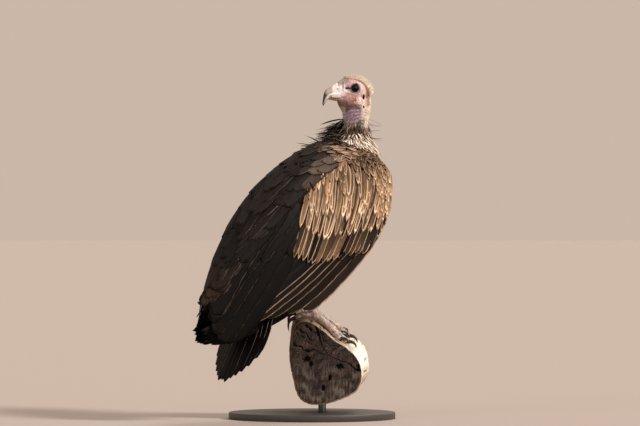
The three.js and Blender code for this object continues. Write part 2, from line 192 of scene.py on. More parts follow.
# Points along a centripetal Catmull-Rom curve, t from 0 to 1 over the whole run.
def spline(run, t):
    run = np.asarray(run, float)
    t = np.atleast_1d(t)
    place = (len(run) - 1) * np.clip(t, 0, 1)
    i = np.minimum(np.floor(place).astype(int), len(run) - 2)
    w = (place - i)[:, None] + np.maximum(t - 1, 0)[:, None] + np.minimum(t, 0)[:, None]
    ext = np.vstack([2 * run[0] - run[1], run, 2 * run[-1] - run[-2]])
    p0, p1, p2, p3 = ext[i], ext[i + 1], ext[i + 2], ext[i + 3]
    d0, d1, d2 = [np.sqrt(np.maximum(np.linalg.norm(b - a, axis=1), 1e-9))[:, None]
                  for a, b in ((p0, p1), (p1, p2), (p2, p3))]
    m1 = ((p1 - p0) / d0 - (p2 - p0) / (d0 + d1) + (p2 - p1) / d1) * d1
    m2 = ((p2 - p1) / d1 - (p3 - p1) / (d1 + d2) + (p3 - p2) / d2) * d1
    return p1 + m1 * w + (3 * (p2 - p1) - 2 * m1 - m2) * w ** 2 + (2 * (p1 - p2) + m1 + m2) * w ** 3


# Triangles of a closed body whose corners are its rings in order, then its first and its last pole.
def ringFaces(rings, sides):
    a = np.arange((rings - 1) * sides)
    b = a + 1 - sides * ((a + 1) % sides == 0)
    walls = np.stack([a, b, b + sides, a, b + sides, a + sides], axis=1)
    k = np.arange(sides)
    n = (k + 1) % sides
    last, pole = (rings - 1) * sides, 0 * k + rings * sides
    ends = np.stack([pole, n, k, pole + 1, last + k, last + n], axis=1)
    return np.vstack([walls.reshape(-1, 3), ends.reshape(-1, 3)])


# Corners and faces of a closed rounded body along a spine, in the spine's own units.
def loft(spine, wide, deep, flat=(1, 0, 0), steps=24, sides=28):
    u = 0.5 - 0.5 * np.cos(np.linspace(0, math.pi, steps + 1))
    u = 0.5 * u + 0.5 * np.linspace(0, 1, steps + 1)
    middle = spline(spine, u)
    ahead = unit(spline(spine, np.minimum(u + 0.01, 1)) - spline(spine, np.maximum(u - 0.01, 0)))
    sizes = spline(np.column_stack([wide, deep]), u)
    side = unit(np.array(flat, float) - ahead * (ahead @ np.array(flat, float))[:, None])
    rise = np.cross(ahead, side)
    angle = np.arange(sides) * 2 * math.pi / sides
    rings = (middle[:, None] + side[:, None] * (sizes[:, :1] * np.cos(angle))[..., None]
             + rise[:, None] * (sizes[:, 1:] * np.sin(angle))[..., None])
    points = np.vstack([rings.reshape(-1, 3), middle[:1], middle[-1:]])
    return points, ringFaces(steps + 1, sides)


# The camera, the studio's light and its floor, in metres.
studio = {
    "azimuth": 230,  # degrees round from the bird's front: behind it and to its right
    "distance": 8.0,
    "frameWidth": 1.152,  # metres across the view at the bird
    "aim": (0.0144, 0.370),  # to the camera's right of the stand's middle, and above the floor
    "floor": "#a69a93",
    "floorReach": 60,
    "sky": "#d9c5b4",
    "skyStrength": 0.85,
    "keyStrength": 3.3,
    "keySpread": 14,  # degrees that the soft key light spans
}


def buildStudio():
    scene = bpy.context.scene
    scene.view_settings.view_transform = "Standard"
    turn = math.radians(studio["azimuth"])
    back = Vector((math.sin(turn), -math.cos(turn), 0))
    right = Vector((math.cos(turn), math.sin(turn), 0))
    target = right * studio["aim"][0] + Vector((0, 0, studio["aim"][1]))
    camera = bpy.data.objects.new("camera", bpy.data.cameras.new("camera"))
    camera.data.sensor_width = 36
    camera.data.lens = 36 * studio["distance"] / studio["frameWidth"]
    camera.data.clip_end = 60
    camera.location = target + back * studio["distance"]
    camera.rotation_euler = (-back).to_track_quat("-Z", "Y").to_euler()
    scene.collection.objects.link(camera)
    scene.camera = camera

    # one warm key from the upper right, and a cooler, weaker one from the left behind
    for name, way, strength, spread, colour in (
        ("key", right * 0.85 + back * 0.45 + Vector((0, 0, 0.65)), 1.0, studio["keySpread"], "#fffaf3"),
        ("rim", right * 0.35 - back * 0.6 + Vector((0, 0, 0.9)), 0.36, 22, "#fff8f0"),
        ("side", -right * 0.7 + back * 0.8 + Vector((0, 0, 0.35)), 0.20, 30, "#eef2fa"),
    ):
        lamp = bpy.data.lights.new(name, "SUN")
        lamp.energy = studio["keyStrength"] * strength
        lamp.angle = math.radians(spread)
        lamp.color = hexColour(colour)[:3]
        light = bpy.data.objects.new(name, lamp)
        light.rotation_euler = way.to_track_quat("Z", "Y").to_euler()
        scene.collection.objects.link(light)

    world = bpy.data.worlds.new("studio")
    world.use_nodes = True
    world.node_tree.nodes["Background"].inputs["Color"].default_value = hexColour(studio["sky"])
    world.node_tree.nodes["Background"].inputs["Strength"].default_value = studio["skyStrength"]
    scene.world = world

    # painted plaster: matt, so that it holds a soft shadow and no reflection
    material, _, _ = startMaterial("paintedFloor", Base_Color=hexColour(studio["floor"]), Roughness=0.9)
    angle = np.linspace(0, 2 * math.pi, 97)[:-1]
    rim = np.column_stack([studio["floorReach"] * np.cos(angle), studio["floorReach"] * np.sin(angle),
                           np.zeros(96)])
    faces = [(96, i, (i + 1) % 96) for i in range(96)]
    floor = meshPiece("floor", np.vstack([rim, [[0, 0, 0]]]), faces, material)
    print("studio ready")


buildStudio()


# The outer surface of the folded wing as four rails from the shoulder to the feather tips, in mm: along
# the back, over the shoulder, down the side and along the lower edge. They are the right wing's, as in the
# frame; the left wing mirrors them.
wingRails = [
    [(-2, -92, 504), (-2, -25, 502), (-2, 50, 460), (-2, 118, 394), (-2, 184, 309), (-3, 259, 217)],
    [(-58, -100, 476), (-58, -23, 477), (-60, 50, 441), (-59, 121, 382), (-43, 193, 292), (-13, 252, 190)],
    [(-84, -118, 440), (-104, -62, 416), (-100, 15, 352), (-84, 95, 272), (-66, 168, 207), (-38, 240, 140)],
    [(-82, -119, 376), (-96, -88, 338), (-92, -32, 278), (-78, 40, 210), (-64, 92, 174), (-48, 142, 152)],
]
wingCells = 72


# A sampled surface: places and outward normals on an even grid, read in between by weights.
class Surface:
    def __init__(self, grid, mirrored=False):
        self.grid = np.asarray(grid, float)
        self.mirrored = mirrored
        along = np.gradient(self.grid, axis=0)
        around = np.gradient(self.grid, axis=1)
        self.normals = unit(np.cross(along, around))
        cells = self.grid.shape[1] - 1
        self.widths = np.linalg.norm(around, axis=2) * cells
        self.lengths = np.linalg.norm(along, axis=2) * (self.grid.shape[0] - 1)

    def read(self, table, s, t):
        rows, columns = self.grid.shape[0] - 1, self.grid.shape[1] - 1
        x, y = np.clip(s, 0, 1) * rows, np.clip(t, 0, 1) * columns
        i, k = np.minimum(x.astype(int), rows - 1), np.minimum(y.astype(int), columns - 1)
        fx, fy = x - i, y - k
        if table.ndim == 3:
            fx, fy = fx[..., None], fy[..., None]
        return ((table[i, k] * (1 - fy) + table[i, k + 1] * fy) * (1 - fx)
                + (table[i + 1, k] * (1 - fy) + table[i + 1, k + 1] * fy) * fx)

    # Beyond its far borders the surface runs on straight. Over the midline of a bird's back (t under 0) it
    # carries on as its own mirror image.
    def place(self, s, t):
        across = np.abs(t) if self.mirrored else t
        inside = self.read(self.grid, s, across)
        over = np.maximum(s - 1, 0)
        beside = across - np.clip(across, 0, 1)
        step = 0.02
        alongS = (inside - self.read(self.grid, np.clip(s, 0, 1) - step, across)) / step
        alongT = (self.read(self.grid, s, np.clip(across, 0, 1) + np.where(beside < 0, step, 0))
                  - self.read(self.grid, s, np.clip(across, 0, 1) - np.where(beside > 0, step, 0))) / step
        place = inside + alongS * over[..., None] + alongT * beside[..., None]
        if self.mirrored:
            turned = place * (-1, 1, 1) + (2 * self.grid[0, 0, 0], 0, 0)
            place = np.where((t < 0)[..., None], turned, place)
        return place

    def normal(self, s, t):
        found = self.read(self.normals, s, np.abs(t) if self.mirrored else t)
        return np.where((t < 0)[..., None], found * (-1, 1, 1), found) if self.mirrored else found


def wingSurface():
    ease = np.linspace(0, 1, wingCells + 1)
    rails = [spline(np.array(rail) * mm, ease) for rail in wingRails]
    return Surface([spline([rail[i] for rail in rails], ease) for i in range(wingCells + 1)], mirrored=True)


rightWing = wingSurface()


# The skin is one closed surface over all the flesh. Places on the head are in the head's own mm.
headFrame = {"at": (4, -101, 594), "turn": 62}  # mm, and degrees: its own +X is the bill, its +Z the crown
headTurn = math.radians(headFrame["turn"])
headAxes = np.array([[math.cos(headTurn), math.sin(headTurn), 0],
                     [-math.sin(headTurn), math.cos(headTurn), 0], [0, 0, 1]])


def toHead(points):
    return (points / mm - np.array(headFrame["at"])) @ headAxes.T


def fromHead(points):
    return (points @ headAxes + np.array(headFrame["at"])) * mm


# Bodies under the coat, in mm: the frame's runs, slimmer by the depth of the feathers over them.
flesh = {
    "trunk": {
        "spine": [(0, 104, 268), (0, 90, 286), (0, 40, 334), (0, -18, 388), (0, -66, 430), (0, -86, 458),
                  (0, -98, 486)],
        "wide": [8, 30, 63, 78, 67, 40, 23], "deep": [6, 24, 55, 70, 58, 35, 22],
    },
    "crop": {
        "spine": [(0, -84, 438), (0, -88, 458), (0, -93, 480), (0, -98, 499), (0, -101, 514)],
        "wide": [34, 47, 46, 34, 24], "deep": [26, 40, 42, 34, 25],
    },
    "neck": {
        "spine": [(0, -98, 478), (0, -102, 505), (1, -104, 532), (1.5, -105, 556), (5, -101, 581)],
        "wide": [27, 25, 22, 24, 19], "deep": [28, 26, 23, 25.5, 22],
    },
    "nape": {
        "spine": [(-5.5, -119, 584), (-5.1, -118.1, 570), (-3.6, -115.3, 556), (-1.9, -112.1, 542),
                  (-1, -108, 526)],
        "wide": [8, 13, 13.5, 13, 12], "deep": [8, 13, 13.5, 13, 12],
    },
    "rightThigh": {
        "spine": [(-42, -22, 344), (-36, 2, 313), (-31, 30, 276), (-27, 46, 253)],
        "wide": [22, 26, 14, 7.6], "deep": [30, 32, 18, 8.6],
    },
    "leftThigh": {
        "spine": [(42, -32, 344), (35, -19, 313), (28, -5, 277), (23, 4, 255)],
        "wide": [22, 26, 14, 7.6], "deep": [30, 32, 18, 8.6],
    },
}
headRun = {
    "spine": [(-30.5, 0, -14.5), (-25.2, 0, -9.4), (-17.5, 0, -2.6), (-6, 0, 0.2), (8, 0, -1.2),
              (17, 0, -2.0), (24.5, 0, -2.0), (31.5, 0, -2.0)],
    "wide": [6.5, 12.5, 19.5, 21.5, 17.5, 12.8, 10.4, 8.6],
    "deep": [8, 16.0, 21.0, 26.0, 26.2, 23.4, 18.8, 13.4],
}
throatRun = {
    "spine": [(27, 0, -14), (23.5, 0, -21), (18, 0, -30), (11, 0, -40)],
    "wide": [5, 8.5, 12, 14], "deep": [4.5, 6.8, 7.6, 8],
}
skinFacts = {
    "voxel": 3.1 * mm,
    "armEnd": 0.43,  # how far down the folded wing the flesh of the arm reaches
    "armDepth": (7.5, 18.0),  # mm of its outer and inner faces below the wing's surface at the shoulder
    "headFrom": 0.522,  # above this height the skin is bare and has fine folds
    "footBelow": 0.262,
}


def wingArm(mirror):
    s = np.linspace(0.03, skinFacts["armEnd"], 14)
    t = np.linspace(0.06, 0.94, 12)
    ss, tt = np.meshgrid(s, t, indexing="ij")
    place = rightWing.read(rightWing.grid, ss, tt)
    normal = rightWing.read(rightWing.normals, ss, tt)
    outer, inner = skinFacts["armDepth"]
    thin = 1 - 0.62 * (ss / skinFacts["armEnd"])[..., None]
    top = place - normal * outer * mm
    low = place - normal * (outer + (inner - outer) * thin) * mm
    points = np.vstack([top.reshape(-1, 3), low.reshape(-1, 3)])
    rows, columns = ss.shape
    half = rows * columns
    quads = []
    for i in range(rows - 1):
        for k in range(columns - 1):
            a = i * columns + k
            quads.append((a, a + columns, a + columns + 1, a + 1))
            quads.append((half + a, half + a + 1, half + a + columns + 1, half + a + columns))
    border = ([k for k in range(columns)] + [(i + 1) * columns - 1 for i in range(1, rows)]
              + [(rows - 1) * columns + k for k in range(columns - 2, -1, -1)]
              + [i * columns for i in range(rows - 2, 0, -1)])
    for a, b in zip(border, border[1:] + border[:1]):
        quads.append((a, b, half + b, half + a))
    if mirror:
        points = points * (-1, 1, 1)
        quads = [q[::-1] for q in quads]
    return points, np.array(quads)


def frameCopy(node, grow):
    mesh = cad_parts[node].data.copy()
    work = bmesh.new()
    work.from_mesh(mesh)
    bmesh.ops.remove_doubles(work, verts=work.verts, dist=1e-5)
    work.normal_update()
    for vert in work.verts:
        vert.co += vert.normal * grow
    work.to_mesh(mesh)
    work.free()
    return bpy.data.objects.new("copyOf_" + node, mesh)


# Evens out a surface without shrinking it; weight says how much each corner takes part.
def relaxed(points, edges, rounds, weight):
    a, b = edges[:, 0], edges[:, 1]
    count = np.maximum(np.bincount(np.r_[a, b], minlength=len(points)), 1)[:, None]
    for turn in range(rounds * 2):
        total = np.zeros_like(points)
        for axis in range(3):
            total[:, axis] = (np.bincount(a, points[b, axis], len(points))
                              + np.bincount(b, points[a, axis], len(points)))
        push = 0.55 if turn % 2 == 0 else -0.565
        points = points + (total / count - points) * push * weight[:, None]
    return points


def edgesOf(mesh):
    flat = np.empty(len(mesh.edges) * 2, dtype=np.int32)
    mesh.edges.foreach_get("vertices", flat)
    return flat.reshape(-1, 2)


def refine(mesh, chosen):
    work = bmesh.new()
    work.from_mesh(mesh)
    work.verts.ensure_lookup_table()
    edges = [e for e in work.edges if chosen[e.verts[0].index] and chosen[e.verts[1].index]]
    bmesh.ops.subdivide_edges(work, edges=edges, cuts=1, use_grid_fill=True)
    work.to_mesh(mesh)
    work.free()


def rawSkin():
    parts = []
    for name, run in flesh.items():
        points, faces = loft(run["spine"], run["wide"], run["deep"])
        parts.append(meshPiece(name, points * mm, faces))
    for name, run in (("skull", headRun), ("gullet", throatRun)):
        points, faces = loft(run["spine"], run["wide"], run["deep"], flat=(0, 1, 0))
        parts.append(meshPiece(name, fromHead(points), faces))
    for mirror in (False, True):
        points, faces = wingArm(mirror)
        parts.append(meshPiece("arm", points, faces))
    for side in ("right", "left"):
        for node in (side + "_tarsus", side + "_foot"):
            piece = frameCopy(node, 0.35 * mm)
            bpy.context.scene.collection.objects.link(piece)
            parts.append(piece)
    joined = bmesh.new()
    for piece in parts:
        joined.from_mesh(piece.data)
        bpy.data.objects.remove(piece)
    whole = bpy.data.meshes.new("wholeSkin")
    joined.to_mesh(whole)
    joined.free()
    skin = bpy.data.objects.new("skin", whole)
    bpy.context.scene.collection.objects.link(skin)
    remesh = skin.modifiers.new("remesh", "REMESH")
    remesh.mode = "VOXEL"
    remesh.voxel_size = skinFacts["voxel"]
    remesh.adaptivity = 0
    return finished(skin)


# Relaxes a mesh by one weight above a height, one on the feet and one between; gives its old heights.
def evenOut(mesh, rounds, headFrom, head, foot, between):
    points = pointsOf(mesh)
    height = points[:, 2]
    weight = np.where(height > headFrom, head, between)
    weight = np.where(height < skinFacts["footBelow"], foot, weight)
    mesh.vertices.foreach_set("co", relaxed(points, edgesOf(mesh), rounds, weight).ravel())
    return height


# Evened out as a whole, then made finer and smoother where the skin shows, on the head and the feet.
def smoothedSkin():
    skin = rawSkin()
    mesh = skin.data
    headFrom = skinFacts["headFrom"]
    height = evenOut(mesh, 7, headFrom, 1.0, 0.55, 1.0)
    refine(mesh, (height > headFrom) | (height < skinFacts["footBelow"]))
    evenOut(mesh, 4, headFrom - 0.004, 0.9, 0.6, 0.0)
    refine(mesh, pointsOf(mesh)[:, 2] > headFrom + 0.012)
    evenOut(mesh, 3, headFrom + 0.01, 0.9, 0.0, 0.0)
    mesh.update()
    return skin


# The eyes, from the frame, in the head's own mm. Left is +Y there.
def eyeFromFrame(side):
    low, high = [np.array(corner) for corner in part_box(side + "_eye")]
    return toHead((low + high) / 2), (high - low)[2] / 2 / mm


face = {
    "lidOpening": 6.1,  # mm from the middle of the eye to the edge of the lids
    "lidThick": 0.8,
    "ear": (-15.6, -13.9),  # its middle, along and up, in the head's own mm
    "earSize": (2.0, 4.3),
    "fold": (-14.5, -32.2),  # the fold under the ear, dark with painted shade
    "foldSize": (1.5, 2.6),
    "gape": (27, 17.0),  # where the mouth's corner crease starts and ends along the head
    "gapeHeight": -15.2,
    "foldDepth": 0.5,
}


# How far a place is from the middle of the ear or of the fold under it, as a share of that one's size.
def reachFrom(label, x, z):
    (middleX, middleZ), (long, high) = face[label], face[label + "Size"]
    return np.hypot((x - middleX) / long, (z - middleZ) / high)


def faceShape(points):
    own = toHead(points)
    x, y, z = own.T
    side = np.sign(y)
    out = np.abs(y)
    (eyeX, eyeY, eyeZ), ball = eyeFromFrame("left")
    onFace = fade(-30, -22, z) * fade(6, 10, out)

    # brow over the eye, the hollow in front of it, and the cheek under it
    def bump(cx, cz, rx, rz, height):
        return height * np.exp(-((x - cx) / rx) ** 2 - ((z - cz) / rz) ** 2)

    push = bump(eyeX - 1, eyeZ + 10.5, 9, 3.2, 1.5) + bump(eyeX + 10, eyeZ + 7, 5, 3, 0.9)
    push += bump(eyeX + 12.5, eyeZ - 1, 4.5, 3.6, -1.9) + bump(eyeX - 3, eyeZ - 12, 9, 3.5, 0.9)
    push += bump(eyeX + 12.2, eyeZ + 1.2, 4.0, 0.9, -1.3)  # the slit in front of the eye, dark with painted shade
    push += bump(-14, 6, 9, 7, -0.8)
    push += bump(22, 8, 1.0, 8, -0.9) + bump(19.5, 8, 1.6, 7, 0.4)  # the crease where the cere starts
    push += bump(eyeX + 9, eyeZ - 6, 6, 2.6, 1.0)
    push += 1.3 * ripple(own * (1, 0.3, 0.55), 6.5, 47) * np.exp(-((x + 3) / 12) ** 2 - ((z + 24) / 11) ** 2)
    out = out + push * onFace

    # ear opening with a raised rim
    reach = reachFrom("ear", x, z)
    out = out + onFace * (1.5 * hump(reach, 1.6, 0.42) - 4.2 * fade(1.25, 0.6, reach))
    fold = reachFrom("fold", x, z)
    out = out + (out > 8) * (1.1 * hump(fold, 1.7, 0.5) - 2.2 * fade(1.3, 0.5, fold))

    # crease at the corner of the mouth
    start, end = face["gape"]
    line = face["gapeHeight"] + 0.012 * (x - start) ** 2 * 0.4
    inMouth = fade(end - 3, end + 4, x) * fade(start + 8, start, x)
    out = out - 1.5 * inMouth * np.exp(-((z - line) / 1.3) ** 2) * onFace
    out = out + 0.7 * inMouth * np.exp(-((z - line - 3) / 1.8) ** 2) * onFace

    # lids: the skin hugs the eyeball and ends in a clean round edge
    opening = face["lidOpening"]
    dx, dz = x - eyeX, z - eyeZ
    flat = np.hypot(dx, dz * 1.06)
    near = np.abs(flat - opening) < 0.5
    pull = np.where(near, opening / np.maximum(flat, 1e-6), 1.0)
    x, z = eyeX + dx * pull, eyeZ + dz * pull
    flat = np.where(near, opening, flat)
    dome = eyeY + np.sqrt(np.maximum(ball ** 2 - np.minimum(flat, ball) ** 2, 0))
    lid = dome + face["lidThick"] * (1 + 0.35 * np.cos(np.clip((flat - opening) / 2.2, 0, math.pi)))
    hug = fade(opening + 5.0, opening + 1.2, flat) * (out > 9)
    out = np.where(out > 9, out * (1 - hug) + np.maximum(lid, out - 2.0) * hug, out)
    out = np.where((flat < opening - 0.2) & (out > 9), eyeY - 1.0, out)
    return fromHead(np.column_stack([x, side * out, z]))


# The hood's border: at each height z over the eyes, how far forward x it reaches, in the head's own mm.
hoodEdge = [(-80, -14), (-56, -17.5), (-41, -19.5), (-33.7, -19.5), (-22.7, -22.4), (-8.8, -23.2),
            (1.6, -19.5), (10.4, -13.4), (17.0, -2.2), (18.8, 6.8), (20.2, 17), (26, 19)]


# Where the skin is bare, how pale or dark it is, and which parts the down hood covers.
def headPlaces(points):
    own = toHead(points)
    x, _, z = own.T
    upper = fade(0.520, 0.528, points[:, 2])
    # the hood runs from above the brow over the crown and down the whole back of the neck
    hood = fade(0.9, -0.9, x - onLine(hoodEdge, z) + 0.5 * ripple(points, 0.009, 29))
    return own, upper, hood * upper


palette = {
    "slate": "#211e1d", "umber": "#35281f", "brown": "#5a4536", "tan": "#b8906f",
    "cream": "#e2d2c2", "ivory": "#f0e6dc", "greyBrown": "#6f5f55",
    "pink": "#e0bcb8", "rose": "#cf9faa", "lilac": "#957690", "throat": "#4d342b",
    "eyeRing": "#1c1c21", "earDark": "#1d0f0d", "leg": "#dfe0da", "legShade": "#8f958e",
    "toe": "#bcaaa0", "hackle": "#3d322b",
}


# A colour's linear values, from its name in the palette or its hex value; linear values stay as they are.
def toned(colour):
    return rgb(palette.get(colour, colour)) if isinstance(colour, str) else colour


def mix(a, b, share):
    share = np.asarray(share)[..., None] if np.ndim(share) else share
    return toned(a) * (1 - share) + toned(b) * share


# A colour with others laid over it in turn, each with its share.
def layered(colour, *layers):
    for over, share in layers:
        colour = mix(colour, over, share)
    return colour


neckPlace = {"behindMiddle": 0.101, "rightFront": (-0.643, -0.766)}  # m, and a direction seen from above


# How far behind (1) or in front of (0) the neck a place is, seen from above.
def behindNeck(points):
    return fade(-0.030, 0.030, (points[:, 1] + 0.100) * 0.8)


# How far out from the neck's upright axis a place is, in metres: towards the bird's right front and towards
# its right rear.
def fromNeck(points):
    x, y = points[:, 0], points[:, 1] + neckPlace["behindMiddle"]
    front, side = neckPlace["rightFront"]
    return front * x + side * y, side * x - front * y


# The plumage colours on the body, by place: the coat and the skin under it both use them.
def bodyColour(points):
    x, y, z = points.T
    colour = np.tile(toned("umber"), (len(points), 1))
    mottled = 0.5 + 0.5 * ripple(points, 0.03, 21)
    colour = mix(colour, "brown", 0.55 * mottled)
    front = 1 - behindNeck(points)
    high = fade(0.43, 0.47, z)
    colour = mix(colour, "tan", high * front * (0.65 + 0.35 * mottled))
    colour = mix(colour, "hackle", high * (1 - front) * 0.9)
    ahead, behind = fromNeck(points)
    beside = fade(0.0, -0.015, ahead)  # the left rear of the neck
    beside = beside * np.maximum(fade(0.034, 0.018, behind), fade(0.508, 0.498, z))
    colour = mix(colour, "hackle", 0.9 * beside * fade(0.475, 0.49, z))
    lowLeg = fade(0.288, 0.262, z) * fade(0.09, 0.06, y) * (np.abs(x) < 0.055)
    return mix(colour, "cream", 0.75 * lowLeg)


# Pale shanks with a greenish shade, and pinker toes with dark creases of painted shade between the pads.
def legColour(points):
    blotch = 0.5 + 0.5 * ripple(points, 0.014, 31)
    colour = mix("leg", "legShade", 0.5 * blotch)
    toe = fade(0.214, 0.196, points[:, 2])
    colour = mix(colour, mix("toe", "#a98473", blotch), 0.8 * toe)
    # painted shade in creases at random places, stronger on the toes
    crease = fade(0.60, 0.90, 0.5 + 0.5 * ripple(points, 0.010, 46))
    return mix(colour, "#5b4a41", (0.15 + 0.45 * toe) * crease)


# The hood of down: cream, greyer on the crown, and brown with painted shade along its inner border beside the
# bare face.
def hoodColour(points):
    x, _, z = toHead(points).T
    crown = fade(2, 18, z)
    colour = mix("#ddcebb", "#c0af9a", np.clip(crown + 0.3 * ripple(points, 0.010, 71), 0, 1))
    inward = onLine(hoodEdge, z) - x
    # along the inner border the down is brown, and darker with painted shade under the hood's thick edge
    borderShade = fade(7.5, 3.5, inward) * fade(24, 14, z) * fade(-36, -26, z)
    return mix(colour, "#967a5e", 0.9 * borderShade)


def skinColour(points):
    own, upper, hood = headPlaces(points)
    x, y, z = own.T
    (eyeX, _, eyeZ), _ = eyeFromFrame("left")

    def spot(cx, cz, rx, rz):
        return np.exp(-((x - cx) / rx) ** 2 - ((z - cz) / rz) ** 2)

    blotch = 0.5 + 0.5 * ripple(points, 0.011, 31)
    fine = 0.5 + 0.5 * ripple(points, 0.005, 32)
    colour = layered(
        mix("pink", "rose", 0.7 * blotch),
        ("#f6f0f2", 0.85 * fade(12, 22, x) * fade(-18, -8, z)),
        ("#c79bb2", 0.6 * spot(eyeX + 10, eyeZ + 5, 8, 4)),
        ("#7d7570", 0.75 * fade(9, 15, z + 0.35 * (x - 12)) * fade(6, 14, x)),
        ("#9c9896", 0.7 * spot(eyeX, eyeZ - 10.5, 9, 2.2)),
        ("rose", 0.6 * spot(-3, 13, 9, 3)),
        # painted highlight under the front of the eye
        ("ivory", 0.95 * spot(eyeX + 11, eyeZ - 5.0, 9, 3.4)),
        # painted shade in the crease where the cere starts
        ("#6b4a42", 0.8 * spot(21.5, 6, 1.3, 8)),
        ("#a5725f", 0.75 * spot(3, -16, 13, 8)),
        ("#e0aa96", 0.8 * spot(-5, -17, 3.2, 8) + 0.5 * spot(4, -11, 7, 3)),
        ("#643e30", 0.9 * fade(0.40, 0.66, fine) * spot(2, -21, 13, 9)),
        ("#6e4d4e", 0.9 * spot(-4, -30, 9, 4.5)),
        ("ivory", 0.6 * spot(-8, -17, 2.6, 8)),
        ("#a5673f", 0.85 * spot(-20.6, -14, 1.7, 17) * (0.55 + 0.45 * fine)),
    )
    jaw = fade(6.0, -6.0, z + 19 + 0.4 * (20 - x) + 3 * (blotch - 0.5)) * fade(-14, 2, x)
    colour = mix(colour, mix("#67452f", "throat", fine), 0.95 * jaw * fade(-44, -34, z))
    neck = fade(-28, -36, z)
    neckTone = mix("#54443d", "#978b80", fade(16.5, 19.5, x + 1.5 * blotch))
    neckTone = mix(neckTone, "#94867a", fade(-52, -62, z))
    colour = mix(colour, neckTone, neck)
    lilac = fade(1.2, 0.75, np.hypot((x - 3) / 15, (z + 49) / 14)) * (np.abs(y) > 6)
    pleat = 0.5 + 0.5 * np.sin((z + 0.5 * x) * 1.1 + 3 * blotch)
    colour = layered(
        colour,
        (mix("lilac", "#cdb6bf", 0.6 * pleat ** 3), 0.9 * lilac),
        ("cream", 0.75 * neck * fade(-7, -13, x) * fade(-62, -50, z)),
        (hoodColour(points), hood * 0.95),
    )
    onSide = np.abs(y) > 9
    ring = np.hypot(x - eyeX + 0.6, (z - eyeZ - 0.2) * 1.02)
    ring = ring - 2.0 * np.exp(-((x - eyeX + 3) / 2.5) ** 2 - ((z - eyeZ - 9.5) / 2.5) ** 2)
    below = fade(1, -4, z - eyeZ)
    colour = mix(colour, "#85868b", 0.9 * fade(11.2, 9.8, ring) * below * onSide)
    colour = mix(colour, "eyeRing", fade(9.1 - 1.6 * below, 7.6 - 1.0 * below, ring) * onSide)
    # painted shade in the slit before the eye, in the fold under the ear and in the ear opening
    slit = np.exp(-((x - eyeX - 12.0) / 4.4) ** 4 - ((z - eyeZ - 0.6) / 1.7) ** 2)
    colour = mix(colour, "earDark", np.clip(1.7 * slit, 0, 1) * onSide)
    fold = reachFrom("fold", x, z)
    colour = mix(colour, "ivory", 0.7 * hump(fold, 1.8, 0.5) * (np.abs(y) > 7))
    colour = mix(colour, "earDark", 0.9 * fade(1.3, 0.8, fold) * (np.abs(y) > 7))
    reach = reachFrom("ear", x, z)
    colour = mix(colour, "ivory", 0.7 * hump(reach, 1.6, 0.4) * onSide)
    colour = mix(colour, "earDark", fade(1.3, 0.95, reach) * onSide)
    line = face["gapeHeight"] + 0.0048 * (x - face["gape"][0]) ** 2
    inMouth = fade(face["gape"][1] - 2, face["gape"][1] + 4, x)
    # painted shade along the crease at the corner of the mouth
    colour = mix(colour, "#4a2a26", 0.8 * inMouth * np.exp(-((z - line) / 1.1) ** 2) * onSide)
    body = bodyColour(points)
    colour = mix(body, colour, upper)
    leg = fade(0.262, 0.254, points[:, 2])
    return mix(colour, legColour(points), leg)


# Bare and leathery skin: a soft broad sheen over fine pores.
def leatherySkin():
    material, tree, bsdf = startMaterial("leatherySkin", Roughness=0.52, IOR=1.4, Subsurface_Weight=0.08,
                                         Subsurface_Radius=(0.004, 0.0015, 0.0008))
    place = addNode(tree, "TexCoord").outputs["Object"]
    shade = addNode(tree, "Attribute", attribute_name="skinColour")
    pores = addNode(tree, "TexVoronoi", {"Vector": place, "Scale": 700.0})  # 1.4 mm cells
    grain = addNode(tree, "TexNoise", {"Vector": place, "Scale": 380.0, "Detail": 5.0})
    spread = addNode(tree, "MapRange", {"Value": grain, "From Min": 0.3, "From Max": 0.7,
                                                  "To Min": 0.82, "To Max": 1.14})
    addNode(tree, "VectorMath", {0: shade, 1: spread}, to=bsdf.inputs["Base Color"], operation="MULTIPLY")
    height = addNode(tree, "Math", {0: pores, 1: grain, 2: 0.2}, operation="MULTIPLY_ADD")
    addNode(tree, "Bump", {"Height": height, "Strength": 0.35, "Distance": 0.0005}, to=bsdf.inputs["Normal"])
    return material


def buildSkin():
    skin = smoothedSkin()
    mesh = skin.data
    points = pointsOf(mesh)
    top = points[:, 2] > 0.545
    points[top] = faceShape(points[top])
    mesh.vertices.foreach_set("co", points.astype(np.float32).ravel())
    mesh.update()
    normals = normalsOf(mesh)
    own, upper, hood = headPlaces(points)
    (eyeX, _, eyeZ), _ = eyeFromFrame("left")
    away = fade(6.5, 10, np.hypot(own[:, 0] - eyeX, own[:, 2] - eyeZ)) * upper
    wrinkle = (0.22 * ripple(points, 0.0055, 41) + 0.14 * ripple(points, 0.003, 42)) * away * (1 - hood)
    neck = fade(0.572, 0.560, points[:, 2]) * upper
    folds = np.sin(points[:, 2] / 0.0062 * 2 * math.pi + 2.2 * ripple(points, 0.03, 43))
    wrinkle += face["foldDepth"] * folds * neck * (0.5 + 0.5 * ripple(points, 0.02, 44)) * (1 - hood)
    wrinkle += 1.2 * hood * fade(0.545, 0.555, points[:, 2])  # the hood is a pad of down and fat
    leg = fade(0.255, 0.25, points[:, 2])
    wrinkle += leg * 0.22 * ripple(points, 0.004, 45)
    points += normals * (wrinkle * mm)[:, None]
    mesh.vertices.foreach_set("co", points.astype(np.float32).ravel())
    mesh.update()
    setAttribute(mesh, "skinColour", "FLOAT_COLOR", skinColour(points))
    mesh.materials.clear()
    mesh.materials.append(leatherySkin())
    mesh.polygons.foreach_set("use_smooth", np.ones(len(mesh.polygons), dtype=bool))
    sides = [side + part for side in ("right", "left") for part in ("_thigh", "_tarsus", "_foot", "_wing")]
    settle(skin, "bare_skin", "trunk", "neck", "neck_ruff", "head", *sides)
    print("skin ready,", len(mesh.vertices), "corners")
    return skin


skin = buildSkin()


eyeLook = {"rings": 40, "around": 48, "pupil": 0.42, "iris": 0.80}  # shares of the eyeball's radius


